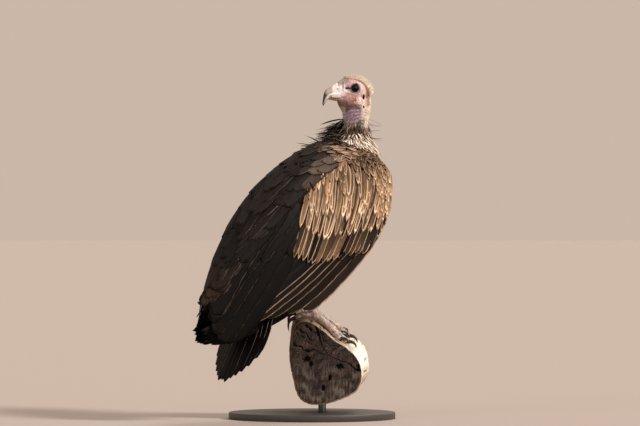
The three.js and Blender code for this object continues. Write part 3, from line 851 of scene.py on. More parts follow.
# A live eye: near-black brown iris under a wet clear cornea, so one small sharp highlight.
def wetEye():
    material, tree, bsdf = startMaterial("wetEye", Roughness=0.06, IOR=1.38, Specular_IOR_Level=0.1,
                                         Coat_Weight=0.06, Coat_Roughness=0.03)
    off = addNode(tree, "Attribute", attribute_name="fromPupil").outputs["Fac"]
    setStops(addNode(tree, "ValToRGB", {"Fac": off}, to=bsdf.inputs["Base Color"]),
             [(0.0, "#050506"), (eyeLook["pupil"] - 0.02, "#060607"), (eyeLook["pupil"] + 0.04, "#140d0b"),
              (eyeLook["iris"] - 0.1, "#180f0b"), (eyeLook["iris"], "#060506"), (1.0, "#0d0b10")])
    return material


def buildEyes(material):
    for side, way in (("left", 1), ("right", -1)):
        centre, radius = eyeFromFrame(side)
        rings, around = eyeLook["rings"], eyeLook["around"]
        polar = np.linspace(0, math.pi, rings + 1)[1:-1]
        turn = np.arange(around) * 2 * math.pi / around
        bulge = 1 + 0.035 * np.exp(-(polar / 0.55) ** 2)  # the cornea stands a little proud
        ring = np.stack([np.outer(np.sin(polar), np.cos(turn)),
                         np.outer(np.cos(polar) * bulge, np.ones(around)) * way,
                         np.outer(np.sin(polar), np.sin(turn))], axis=-1).reshape(-1, 3)
        points = np.vstack([ring, [[0, way * bulge[0], 0], [0, -way, 0]]]) * radius * 0.995 + centre
        faces = ringFaces(rings - 1, around)
        if way < 0:
            faces = faces[:, ::-1]
        eye = meshPiece(side + "Eye", fromHead(points), faces, material)
        offset = np.append(np.repeat(np.sin(polar), around) + (np.repeat(polar, around) > 1.57), [0, 2])
        setAttribute(eye.data, "fromPupil", "FLOAT", offset)
        settle(eye, "eye", side + "_eye")
    print("eyes ready")


buildEyes(wetEye())


# A vane's faces, by its rows from root to tip and columns from edge to edge. It is a thin closed blade: the
# upper and the under face share their outline.
def vaneCells(rows, columns):
    top = np.arange(rows * columns).reshape(rows, columns)
    under = top.copy()
    under[1:-1, 1:-1] = rows * columns + np.arange((rows - 2) * (columns - 2)).reshape(rows - 2, columns - 2)
    quads = []
    for grid, turned in ((top, False), (under, True)):
        a, b, c, d = grid[:-1, :-1], grid[1:, :-1], grid[1:, 1:], grid[:-1, 1:]
        order = (a, d, c, b) if turned else (a, b, c, d)
        quads.append(np.stack(order, axis=-1).reshape(-1, 4))
    return np.vstack(quads), len(quads[0])


# Each vane's half width along its length, as a share: slim root, full middle, round or pointed tip.
def vaneOutline(b, roundness, rolls, ragged):
    swell = 0.5 + 0.5 * np.sin(np.minimum(b / 0.42, 1) * math.pi / 2)
    begin = 1 - roundness
    end = np.sqrt(np.maximum(1 - np.clip((b - begin) / (1 - begin), 0, 1) ** 2.2, 0.006))
    tears = 1 - ragged * rolls.uniform(0, 1, (len(roundness), b.shape[1])) ** 4
    return swell * end * tears


vaneKeys = ("s0", "s1", "t0", "t1", "half", "low", "high", "tilt", "curl", "round", "edge")


# Lays vanes on a surface. Every row of the table is one vane: root and tip places (s, t), half width in mm,
# heights of root and tip over the surface in mm, how much the outer edge stands up, and its colours.
def layVanes(name, surface, table, material, rows=14, columns=7, camber=1.2, ridge=0.25, thick=0.5,
             ragged=0.12, seed=1, mirror=False, aslant=False):
    rolls = np.random.default_rng(seed)
    count = len(table["s0"])
    get = {key: np.asarray(table[key], float)[:, None, None] for key in vaneKeys}
    b = np.tile(np.linspace(0, 1, rows) ** 0.85, (count, 1))
    a = np.linspace(-1, 1, columns)
    outline = vaneOutline(b, get["round"][:, 0], rolls, ragged)[..., None]
    bb = b[..., None]
    s = get["s0"] + (get["s1"] - get["s0"]) * bb + 0 * a
    sway = (rolls.normal(0, 1, count) * 0.006)[:, None, None] * np.sin(math.pi * bb)
    t = get["t0"] + (get["t1"] - get["t0"]) * bb + sway
    span = surface.read(surface.widths, np.clip(s, 0, 1), np.clip(np.abs(t + 0 * a), 0, 1))
    share = get["half"] * mm / np.maximum(span, 1e-4)
    if aslant:
        # square to a vane that crosses the wing, its width runs along it as well
        reach = np.maximum(surface.read(surface.lengths, np.clip(s, 0, 1), np.clip(t, 0, 1)), 0.2)
        along = (get["s1"] - get["s0"]) * reach
        over = (get["t1"] - get["t0"]) * span
        whole = np.hypot(along, over)
        s = s - a * outline * get["half"] * mm * over / whole / reach
        share = share * along / whole
    t = t + a * outline * share
    base = surface.place(s, t)
    up = surface.normal(s, np.clip(t, -1, 1))
    height = get["low"] * (1 - bb) + get["high"] * bb
    height = height + get["tilt"] * a * outline
    height = height - camber * (a * outline) ** 2 + ridge * np.exp(-(a / 0.12) ** 2)
    height = height + get["curl"] * bb ** 3
    height = height + 0.25 * rolls.normal(0, 1, (count, 1, 1))
    top = base + up * (height * mm)[..., None]
    depth = thick * mm * (1 - a[1:-1] ** 2)[None, None, :, None]
    under = top[:, 1:-1, 1:-1] - up[:, 1:-1, 1:-1] * depth
    corners = rows * columns + (rows - 2) * (columns - 2)
    points = np.concatenate([top.reshape(count, -1, 3), under.reshape(count, -1, 3)], axis=1)
    cells, upper = vaneCells(rows, columns)
    faces = (cells[None] + (np.arange(count) * corners)[:, None, None]).reshape(-1, 4)
    if mirror:
        points = points * (-1, 1, 1)
        faces = faces[:, ::-1]
    piece = meshPiece(name, points.reshape(-1, 3), faces, material)

    def both(grid):
        grid = np.broadcast_to(grid, (count, rows, columns))
        return np.concatenate([grid.reshape(count, -1), grid[:, 1:-1, 1:-1].reshape(count, -1)],
                              axis=1).ravel()

    across, along = both(a), both(bb)
    each = np.repeat(np.arange(count), corners)
    tone = rolls.uniform(0, 1, count)[each]
    setAttribute(piece.data, "vane", "FLOAT_VECTOR", np.column_stack([across, along, tone]))
    setAttribute(piece.data, "centre", "FLOAT_COLOR", table["centre"][each])
    setAttribute(piece.data, "fringe", "FLOAT_COLOR", table["fringe"][each])
    setAttribute(piece.data, "fringeShare", "FLOAT", table["edge"][each])

    # its own patch of the bake map for every vane, the underside beside the upper face
    cellsAcross = math.ceil(math.sqrt(count))
    side = 1 / cellsAcross
    corner = faces.ravel() - np.repeat(np.arange(count) * corners, len(cells) * 4)
    patch = np.column_stack([(across[:corners][corner] + 1) / 2, along[:corners][corner]])
    below = np.tile(np.repeat(np.arange(len(cells)) >= upper, 4), count)
    patch[:, 0] = np.where(below, 0.72 + 0.24 * patch[:, 0], 0.04 + 0.62 * patch[:, 0])
    patch[:, 1] = 0.04 + 0.92 * patch[:, 1]
    vane = np.repeat(np.arange(count), len(cells) * 4)
    patch = (patch + np.column_stack([vane % cellsAcross, vane // cellsAcross])) * side
    layer = piece.data.uv_layers.new(name="OFBake")
    layer.data.foreach_set("uv", patch.astype(np.float32).ravel())
    return piece


# Feather keratin: matt barbs that lie aslant from a stiff shaft, darker in the middle of the vane and paler
# along its worn edge. Real barbs are 0.3 mm apart, too fine to show, so the streaks are drawn coarser.
def featherKeratin(name, roughness, shadow=0.0):
    material, tree, bsdf = startMaterial(name, Roughness=roughness, IOR=1.5, Specular_IOR_Level=0.08)
    vane = addNode(tree, "Attribute", attribute_name="vane").outputs["Vector"]
    parts = addNode(tree, "SeparateXYZ", {"Vector": vane})
    across, along, tone = parts.outputs["X"], parts.outputs["Y"], parts.outputs["Z"]
    centre = addNode(tree, "Attribute", attribute_name="centre")
    fringe = addNode(tree, "Attribute", attribute_name="fringe")
    share = addNode(tree, "Attribute", attribute_name="fringeShare").outputs["Fac"]
    out = addNode(tree, "Math", {0: across}, operation="ABSOLUTE")
    slant = addNode(tree, "Math", {0: out, 1: -0.22, 2: along}, operation="MULTIPLY_ADD")
    barbPlace = addNode(tree, "CombineXYZ", {"X": across, "Y": slant, "Z": tone})
    stretch = addNode(tree, "VectorMath", {0: barbPlace, 1: (1.5, 42.0, 97.0)}, operation="MULTIPLY")
    barbs = addNode(tree, "TexNoise", {"Vector": stretch, "Scale": 1.0, "Detail": 3.0})
    blotches = addNode(tree, "TexNoise", {"Vector": addNode(tree, "TexCoord").outputs["Object"],
                                                    "Scale": 95.0, "Detail": 2.0})

    # how near to the edge, with the tip's edge counted as well, and ragged by the barbs
    tip = addNode(tree, "MapRange", {"Value": along, "From Min": 0.76, "From Max": 1.0, "To Max": 0.80})
    edge = addNode(tree, "Math", {0: out, 1: tip}, operation="MAXIMUM")
    edge = addNode(tree, "Math", {0: barbs, 1: 0.12, 2: edge}, operation="MULTIPLY_ADD")
    start = addNode(tree, "Math", {0: 1.06, 1: share}, operation="SUBTRACT")
    end = addNode(tree, "Math", {0: start, 1: 0.09}, operation="ADD")
    inFringe = addNode(tree, "MapRange", {"Value": edge, "From Min": start, "From Max": end},
                       interpolation_type="SMOOTHSTEP")
    colour = addNode(tree, "Mix", {0: inFringe, 6: centre, 7: fringe}, data_type="RGBA").outputs[2]
    light = addNode(tree, "MapRange", {"Value": barbs, "From Min": 0.3, "From Max": 0.7,
                                                 "To Min": 0.62, "To Max": 1.32})
    light = addNode(tree, "Math", {0: blotches, 1: 0.4, 2: light}, operation="MULTIPLY_ADD")
    light = addNode(tree, "Math", {0: tone, 1: 0.55, 2: light}, operation="MULTIPLY_ADD")
    light = addNode(tree, "Math", {0: light, 1: 0.45}, operation="SUBTRACT")
    # painted shade towards the root, where the feather above lies over it, and a little painted light towards
    # the tip
    clear = addNode(tree, "MapRange", {"Value": along, "From Min": 0.55, "From Max": 0.93,
                                                 "To Min": 1 - shadow, "To Max": 1 + 0.25 * shadow})
    light = addNode(tree, "Math", {0: light, 1: clear}, operation="MULTIPLY")
    addNode(tree, "VectorMath", {0: colour, 1: light}, to=bsdf.inputs["Base Color"], operation="MULTIPLY")
    shaft = addNode(tree, "MapRange", {"Value": out, "From Min": 0.0, "From Max": 0.09,
                                                 "To Min": 1.0, "To Max": 0.0})
    height = addNode(tree, "Math", {0: shaft, 1: 0.6, 2: barbs}, operation="MULTIPLY_ADD")
    addNode(tree, "Bump", {"Height": height, "Strength": 0.5, "Distance": 0.0006}, to=bsdf.inputs["Normal"])
    return material


# One table of like vanes; a single value stands for all of them.
def vanes(count, centre, fringe, **facts):
    facts = {"tilt": 1.0, "curl": 0.0, "round": 0.2, "edge": 0.1, **facts}
    table = {key: np.broadcast_to(np.asarray(facts[key], float), count).copy() for key in vaneKeys}
    table["centre"] = np.broadcast_to(toned(centre), (count, 3)).copy()
    table["fringe"] = np.broadcast_to(toned(fringe), (count, 3)).copy()
    return table


def together(tables):
    return {key: np.concatenate([table[key] for table in tables]) for key in (*vaneKeys, "centre", "fringe")}


def wobble(values, amount, rolls):
    return values + rolls.normal(0, amount, np.shape(values))


# The folded wing: where each tract lies on its surface. s runs from shoulder to tips, t from the back's
# midline to the lower edge.
wingPlan = {
    "across": 453,  # mm along a row of coverts for each unit of t
    "secondaries": {
        "count": 9, "firstT": 0.965, "stepT": 0.05, "half": 15,
        "tips": (0.70, 0.77, 0.83, 0.88, 0.925, 0.96, 0.985, 1.0, 1.005),
    },
    "tertials": ((0.50, 0.52, 0.995, 0.73), (0.50, 0.46, 1.0, 0.62), (0.50, 0.40, 1.0, 0.50),
                 (0.50, 0.34, 1.0, 0.38), (0.52, 0.27, 0.985, 0.26)),
    "longCoverts": ((0.34, 0.58, 0.60, 0.60), (0.36, 0.55, 0.635, 0.55), (0.40, 0.50, 0.685, 0.49),
                    (0.45, 0.45, 0.745, 0.46), (0.50, 0.39, 0.81, 0.43)),
    # the coverts' upper border and the mantle's outer one as (s, t), and the greater coverts' tips as (t, s)
    "covertEdge": ((0.0, 0.15), (0.2, 0.355), (0.42, 0.355), (0.53, 0.47), (0.60, 0.57), (0.66, 0.62)),
    "mantleEdge": ((0.0, 0.34), (0.2, 0.38), (0.55, 0.39), (0.82, 0.34), (1.0, 0.15)),
    "tipLine": ((0.36, 0.68), (0.46, 0.66), (0.58, 0.615), (0.76, 0.525), (0.99, 0.34)),
}


# Rows of coverts from the greater ones up: how far back their tips lie (s), the gap between neighbours in
# mm, each one's length (s), half width in mm, and how far it leans across the wing (t for each s).
covertRows = [(0.0, 12.2, 0.185, 8.8, 0.95), (0.056, 9.2, 0.145, 6.6, 1.2), (0.092, 8.2, 0.125, 5.6, 1.5)]
covertRows += [(0.092 + 0.031 * k, 8.4, 0.100, 5.6, 1.65) for k in range(1, 13)]
covertLean = 1.55  # and how far each row as a whole stands over the one under it, t for each s


# Where along the wing (s) the greater coverts' tips lie; past the lower edge the line runs on straight.
def covertTip(t):
    line = wingPlan["tipLine"]
    return onLine(line, t) - 0.8 * np.maximum(t - line[-1][0], 0)


def mantleEdge(s):
    return onLine(wingPlan["mantleEdge"], s)


def flightTable(rolls):
    plan = wingPlan["secondaries"]
    j = np.arange(plan["count"])
    t0 = plan["firstT"] - plan["stepT"] * j
    tips = wobble(np.array(plan["tips"]), 0.004, rolls)
    s0 = 0.12 + 0.035 * j
    slope = -0.15 * np.minimum(1, (1 - t0) / 0.2)
    dark = mix("#0b0a0a", "#221a15", fade(6, 1, j) * rolls.uniform(0.5, 1, len(j)))
    pale = mix("#b8a08a", "#3a312a", fade(5.0, 6.0, j))  # those under the tertials, with fringes painted dark as shade
    outer = vanes(len(j), dark, pale, s0=s0, s1=tips, t0=t0, t1=t0 + slope * (tips - s0),
                  half=plan["half"], low=-6.5 + 0.1 * j, high=-5.2 + 0.2 * j, tilt=2.0, round=0.12, edge=0.18)
    inner = []
    for k, (sa, ta, sb, tb) in enumerate(wingPlan["tertials"]):
        inner.append(vanes(1, mix("#0a0909", "#110e0d", k / 5), "#65564a", s0=sa, s1=sb, t0=ta, t1=tb,
                           half=22, low=-4.6 + 0.5 * k, high=-3.6 + 0.6 * k, tilt=1.8, round=0.10, edge=0.06))
    for k, (sa, ta, sb, tb) in enumerate(wingPlan["longCoverts"]):
        dark = ("#130e0b", "#110d0b", "#0e0b0a", "#0d0a09", "#130e0b")[k]
        inner.append(vanes(1, dark, "#6b594c", s0=sa, s1=sb, t0=ta, t1=tb, half=13.5, low=-6.0,
                           high=-3.2 + 0.5 * k, tilt=1.1, round=0.20, edge=0.10))
    return together([outer, *inner])


def covertTable(rolls):
    tables = []
    for row, (back, gap, length, half, lean) in enumerate(covertRows):
        start = np.arange(0.38, 1.55, gap / wingPlan["across"])
        start = wobble(start, 0.004 + 0.002 * min(row, 3), rolls)
        s1 = wobble(covertTip(start) - back, 0.004 + 0.005 * min(row, 3), rolls)
        t1 = start - covertLean * back
        over = np.maximum(t1 - 0.985, 0)  # those past the lower edge are drawn back to it
        t1, s1 = t1 - over, s1 - over / lean
        keep = (s1 > 0.012) & (over < 0.10)
        keep &= t1 > onLine(wingPlan["covertEdge"], s1) - rolls.uniform(0, 0.02, len(t1))
        t1, s1 = t1[keep], s1[keep]
        count = len(t1)
        if not count:
            continue
        loose = fade(0.33, 0.13, s1) * fade(0.80, 0.48, t1)  # ruffled at the shoulder
        base = mix("#1c1512", "#a38162", np.clip((0.02, 0.38, 0.66, 0.78)[min(row, 3)]
                                                           + rolls.normal(0, 0.18, count), 0, 1))
        base = mix(base, "#3d2e24", 0.75 * loose)
        pale = layered(
            mix("#cba381", "#f4d6b6", rolls.uniform(0, 1, count)),
            ("#8a6a50", 0.8 * loose),
            ("brown", 0.35 * fade(0.60, 0.40, t1) + 0.2 * rolls.uniform(0, 1, count)),
        )
        shaded = fade(0.42, 0.28, s1) * fade(0.78, 0.56, t1) * rolls.uniform(0.1, 0.9, count)
        base = mix(base, "#2a1f19", shaded)
        pale = mix(pale, "#7d6049", 0.7 * shaded)
        edge = (0.32, 0.50, 0.56, 0.58)[min(row, 3)] - 0.10 * loose
        tables.append(vanes(count, base, pale, s0=np.maximum(s1 - length, -0.02), s1=s1,
                            t0=wobble(t1 - lean * length, 0.009, rolls), t1=t1,
                            half=wobble(np.full(count, half), 0.7, rolls), low=-3.9 + 0.1 * row,
                            high=-1.4 + 0.12 * row, tilt=0.9, curl=(0.35 + 2.2 * loose)
                            * np.abs(rolls.normal(0, 1, count)), round=(0.34, 0.45, 0.6, 0.75)[min(row, 3)],
                            edge=np.clip(edge + rolls.normal(0, 0.07, count), 0.15, 0.85)))
    return together(tables)


def mantleTable(rolls):
    tables = []
    # small feathers over the shoulders
    for row, tip in enumerate(np.arange(0.06, 0.30, 0.042)):
        edge = float(mantleEdge(tip))
        half = 5.4 + 2.0 * row / 6
        width = 0.21 + 0.26 * tip  # metres round the surface there, roughly
        count = int(round(edge * width * 1000 / (half * 1.1)))
        t1 = wobble(np.linspace(0.01, edge - 0.012, count) + (0.4 / count * edge if row % 2 else 0), 0.006,
                    rolls)
        s1 = wobble(np.full(count, tip), 0.018, rolls)
        # lighter towards the shoulders: partly the feathers' paler colour, partly painted light
        near = fade(0.06, 0.24, t1) * fade(0.34, 0.18, tip)
        base = mix("slate", "#917d6d", rolls.uniform(0.1, 1, count) * (0.2 + 0.8 * near))
        base = mix(base, "#b39a82", 0.7 * near * rolls.uniform(0, 1, count) ** 1.5)
        pale = mix("greyBrown", "tan", np.clip(rolls.uniform(0.2, 1, count) * (0.4 + near), 0, 1))
        tables.append(vanes(count, base, pale, s0=np.maximum(s1 - 0.13, -0.01), s1=s1, t0=t1, t1=t1,
                            half=half, low=-3.0, high=0.3, tilt=1.0, curl=(1.2 + 1.5 * near)
                            * np.abs(rolls.normal(0, 1, count)), round=0.42,
                            edge=np.clip(0.14 + 0.3 * near + rolls.normal(0, 0.06, count), 0.03, 0.6)))
    # long scapulars, in uneven columns down the back
    for column in range(9):
        t = 0.02 + column * 0.0475
        tips = np.arange(0.34 + 0.055 * (column % 2) + 0.02 * (column % 3), 1.0, 0.105)
        tips = np.append(tips, 1.0 if column < 2 else 0.965)
        tips = wobble(tips, 0.014, rolls)
        edge = mantleEdge(tips)
        t1 = t * edge / 0.39
        tips, t1 = tips[t1 < edge - 0.015], t1[t1 < edge - 0.015]
        tips = tips - 0.03 * column / 8
        count = len(tips)
        s0 = np.maximum(tips - rolls.uniform(0.25, 0.33, count), 0.05)
        brown = fade(0.88, 0.98, tips)
        base = mix("#191615", "#262120", rolls.uniform(0, 1, count))
        base = mix(base, "#2c2019", 0.9 * brown)
        beside = fade(0.18, 0.28, t1) * fade(0.55, 0.40, tips)  # the ones next to the coverts
        base = mix(base, "#74645a", 0.7 * beside * rolls.uniform(0.3, 1, count))
        pale = mix("#36302e", "#75675c", rolls.uniform(0, 1, count) ** 1.5)
        tables.append(vanes(count, base, pale, s0=s0, s1=tips, t0=t * mantleEdge(s0) / 0.39, t1=t1,
                            half=rolls.uniform(14, 18, count) + 5 * (tips > 0.93), low=-2.6 - 0.1 * column,
                            high=0.5 - 0.1 * column, tilt=1.5, curl=0.6 * np.abs(rolls.normal(0, 1, count)),
                            round=np.where(tips > 0.93, 0.16, 0.26),
                            edge=np.clip(0.10 + rolls.normal(0, 0.03, count), 0.03, 0.2)))
    return together(tables)


# The folded primaries lie in a flat bundle of their own under the wing, as in the frame.
primaryBundle = {
    "spine": [(-58, 60, 226), (-43, 130, 190), (-27, 200, 164), (-9, 262, 148)],
    "wide": [22, 22, 21, 19], "flat": (0, 0.35, 0.94), "count": 9,
}


def primarySurface():
    ease = np.linspace(0, 1, 25)
    middle = spline(np.array(primaryBundle["spine"], float), ease) * mm
    wide = spline(np.column_stack([primaryBundle["wide"]] * 3), ease)[:, 0] * mm
    ahead = unit(np.gradient(middle, axis=0))
    flat = np.array(primaryBundle["flat"])
    side = -unit(flat - ahead * (ahead @ flat)[:, None])
    across = np.linspace(-1, 1, 9)
    return Surface(middle[:, None] + side[:, None] * (wide[:, None] * across)[..., None])


def primaryTable(rolls):
    count = primaryBundle["count"]
    k = np.arange(count)
    share = k / (count - 1)
    tips = np.array((0.995, 0.95, 0.985, 0.935, 0.97, 0.92, 0.99, 0.945, 0.91))
    return vanes(count, mix("#060505", "#0f0c0b", rolls.uniform(0, 1, count)), "#2e2621",
                 s0=0.0, s1=tips, t0=0.25 + 0.5 * share, t1=0.12 + 0.76 * share, half=8.5 - 1.5 * share,
                 low=1.0 - 2.4 * share, high=1.2 - 2.6 * share, tilt=0.5, round=0.5, edge=0.05)


# The spread tail, in mm: half widths from root to tip, and how far its sides droop and fall short.
fan = {
    "root": (0, 96, 280), "slope": math.radians(62), "length": 238, "widths": (24, 38, 54, 66, 66),
    "arch": 8, "round": 0.28, "count": 12,
}


def tailSurface():
    s = np.linspace(0, 1, 33)
    t = np.linspace(0, 1, 33)
    half = spline(np.column_stack([fan["widths"]] * 3), s)[:, 0]
    across = 1 - 2 * t
    reach = fan["length"] * s[:, None] * (1 - fan["round"] * across[None] ** 2)
    droop = fan["arch"] * across[None] ** 2
    x = fan["root"][0] + half[:, None] * across[None]
    y = fan["root"][1] + reach * math.cos(fan["slope"]) - droop * math.sin(fan["slope"])
    z = fan["root"][2] - reach * math.sin(fan["slope"]) - droop * math.cos(fan["slope"])
    return Surface(np.stack([x, y, z], axis=-1) * mm)


def tailTable(rolls):
    tables = []
    for k in range(fan["count"]):
        t = (k + 0.5) / fan["count"]
        out = abs(2 * t - 1)
        way = 1 if t > 0.5 else -1
        tables.append(vanes(1, mix("#060505", "#0d0a09", rolls.uniform()), "#5c4b40", s0=0.02,
                            s1=0.985 + rolls.normal(0, 0.006), t0=0.5 + (t - 0.5) * 0.7,
                            t1=0.5 + (t - 0.5) * 0.97, half=15.5, low=-1.0 - 1.6 * out, high=-0.6 - 2.4 * out,
                            tilt=0.9 * way, round=0.14, edge=0.07 + 0.03 * out))
    return together(tables)


# Between the folded wings, dark feathers lie over the rump and close the gap above the tail.
rump = {
    "ridge": [(0, 40, 446), (0, 110, 383), (0, 172, 306), (0, 216, 246), (0, 262, 186)],  # mm
    "tips": (0.55, 0.68, 0.80, 0.90, 0.97),  # how far down it each row ends
}


def rumpSurface():
    s = np.linspace(0, 1, 21)
    ridge = spline(rump["ridge"], s)
    wide = 14 + 16 * np.sin(math.pi * np.clip(s, 0, 1) * 0.6)
    across = np.linspace(-1, 1, 13)
    x = -wide[:, None] * across[None]
    drop = 34 * (0.3 + 0.7 * s)[:, None] * across[None] ** 2
    y = ridge[:, 1:2] - drop * 0.62
    z = ridge[:, 2:3] - drop * 0.78
    return Surface(np.stack([x, y, z], axis=-1) * mm)


def rumpTable(rolls):
    tables = []
    for row, tip in enumerate(rump["tips"]):
        count = 5 + row % 2
        t1 = wobble(np.linspace(0.08, 0.92, count), 0.02, rolls)
        dark = mix("#100e0e", "#1d1816", rolls.uniform(0, 1, count))
        tables.append(vanes(count, dark, "#3a302a", s0=tip - 0.34,
                            s1=wobble(np.full(count, tip), 0.02, rolls), t0=0.5 + (t1 - 0.5) * 0.6, t1=t1,
                            half=10, low=-2.5, high=0.6, tilt=np.where(t1 > 0.5, 1.0, -1.0), round=0.3,
                            edge=0.08))
    return together(tables)


# Each tract's blades: mm of arch across them, of the shaft's ridge and of thickness, and how torn they are.
tracts = {
    "FlightFeathers": {"rows": 26, "columns": 11, "camber": 1.4, "ridge": 0.5, "thick": 0.6, "ragged": 0.10},
    "Coverts": {"rows": 12, "columns": 7, "camber": 1.3, "ridge": 0.3, "aslant": True},
    "Mantle": {"rows": 16, "columns": 7, "camber": 1.3, "ridge": 0.35},
    "Primaries": {"rows": 20, "columns": 9, "camber": 0.8, "ridge": 0.5, "thick": 0.6, "ragged": 0.08},
    "tailFeathers": {"rows": 22, "columns": 11, "camber": 1.0, "ridge": 0.6, "thick": 0.7, "ragged": 0.10},
    "rumpFeathers": {"rows": 14, "columns": 7, "camber": 1.0, "ridge": 0.4},
}


def buildWingFeathers():
    flight = featherKeratin("flightFeather", roughness=0.5)
    covert = featherKeratin("covertFeather", roughness=0.7, shadow=0.42)
    bundle = primarySurface()
    onWing = (
        ("FlightFeathers", rightWing, flightTable, flight, "flight_feathers", "_wing"),
        ("Coverts", rightWing, covertTable, covert, "wing_feathers", "_wing"),
        ("Mantle", rightWing, mantleTable, covert, "wing_feathers", "_wing"),
        ("Primaries", bundle, primaryTable, flight, "flight_feathers", "_primaries"),
    )
    for side, mirror, seed in (("right", False, 11), ("left", True, 60)):
        rolls = np.random.default_rng(seed)
        for step, (label, surface, plan, material, slot, node) in enumerate(onWing):
            piece = layVanes(side + label, surface, plan(rolls), material, seed=seed + step, mirror=mirror,
                             **tracts[label])
            settle(piece, slot, side + node)
    for label, surface, plan, material, slot, nodes, seed in (
        ("tailFeathers", tailSurface(), tailTable, flight, "flight_feathers", ("tail",), 5),
        ("rumpFeathers", rumpSurface(), rumpTable, covert, "wing_feathers", ("right_wing", "left_wing"), 8),
    ):
        rolls = np.random.default_rng(seed)
        piece = layVanes(label, surface, plan(rolls), material, seed=seed, **tracts[label])
        settle(piece, slot, *nodes)
    print("wings and tail ready")


buildWingFeathers()


# A small feather for spreading over the skin by Geometry Nodes, sized in mm: a closed blade that lies along
# +Y with its upper face towards +Z.
def bladeModel(length, half, rows, columns, droop, thick=0.35, pointed=0.55):
    b = np.linspace(0, 1, rows)[:, None]
    a = np.linspace(-1, 1, columns)[None]
    wide = (0.35 + 0.65 * np.sin(np.minimum(b / 0.45, 1) * math.pi / 2))
    wide = wide * np.sqrt(np.maximum(1 - np.clip((b - 1 + pointed) / pointed, 0, 1) ** 2, 0.004))
    x = a * wide * half
    y = b * length + 0 * a
    z = -droop * b ** 2 * length - 0.18 * half * a ** 2 * wide
    top = np.stack([x, y, z], axis=-1) * mm
    under = top[1:-1, 1:-1] - np.array([0, 0, thick * mm]) * (1 - a[:, 1:-1, None] ** 2)
    cells, _ = vaneCells(rows, columns)
    # the blade's +Y by +X looks down, so its faces are turned over to look up along +Z
    model = meshPiece("blade", np.vstack([top.reshape(-1, 3), under.reshape(-1, 3)]), cells[:, ::-1])
    facts = np.stack([a + 0 * b, b + 0 * a, np.zeros((rows, columns))], axis=-1)
    facts = np.vstack([facts.reshape(-1, 3), facts[1:-1, 1:-1].reshape(-1, 3)])
    setAttribute(model.data, "vane", "FLOAT_VECTOR", facts)
    return model


# A tuft of down, sized in mm: a few thin curved spikes from one root.
def tuftModel(spikes, length, half, spread, droop, seed):
    rolls = np.random.default_rng(seed)
    points, faces, facts = [], [], []
    for k in range(spikes):
        turn = 2 * math.pi * k / spikes + rolls.uniform(-0.4, 0.4)
        long = length * rolls.uniform(0.75, 1.1)
        lean = spread * rolls.uniform(0.4, 1.0)
        way = np.array([math.cos(turn) * lean, 1.0, 0.6 * math.sin(turn) * lean])
        way /= np.linalg.norm(way)
        start = np.array([math.cos(turn), 0, 0.5 * math.sin(turn)]) * half * 1.2
        base = len(points)
        for share, size in ((0.0, 1.0), (0.5, 0.75)):
            middle = start + way * long * share - np.array([0, 0, droop * share ** 2 * long])
            for corner in range(3):
                angle = 2 * math.pi * corner / 3 + math.pi / 2
                points.append(middle + half * size * np.array([math.cos(angle), 0, math.sin(angle)]))
                facts.append((math.cos(angle), share, 0))
        points.append(start + way * long - np.array([0, 0, droop * long]))
        facts.append((0, 1, 0))
        faces.append((base, base + 1, base + 2))
        for corner in range(3):
            p, q = base + corner, base + (corner + 1) % 3
            faces += [(p, p + 3, q + 3), (p, q + 3, q), (p + 3, base + 6, q + 3)]
    model = meshPiece("tuft", np.array(points) * mm, faces)
    setAttribute(model.data, "vane", "FLOAT_VECTOR", facts)
    return model


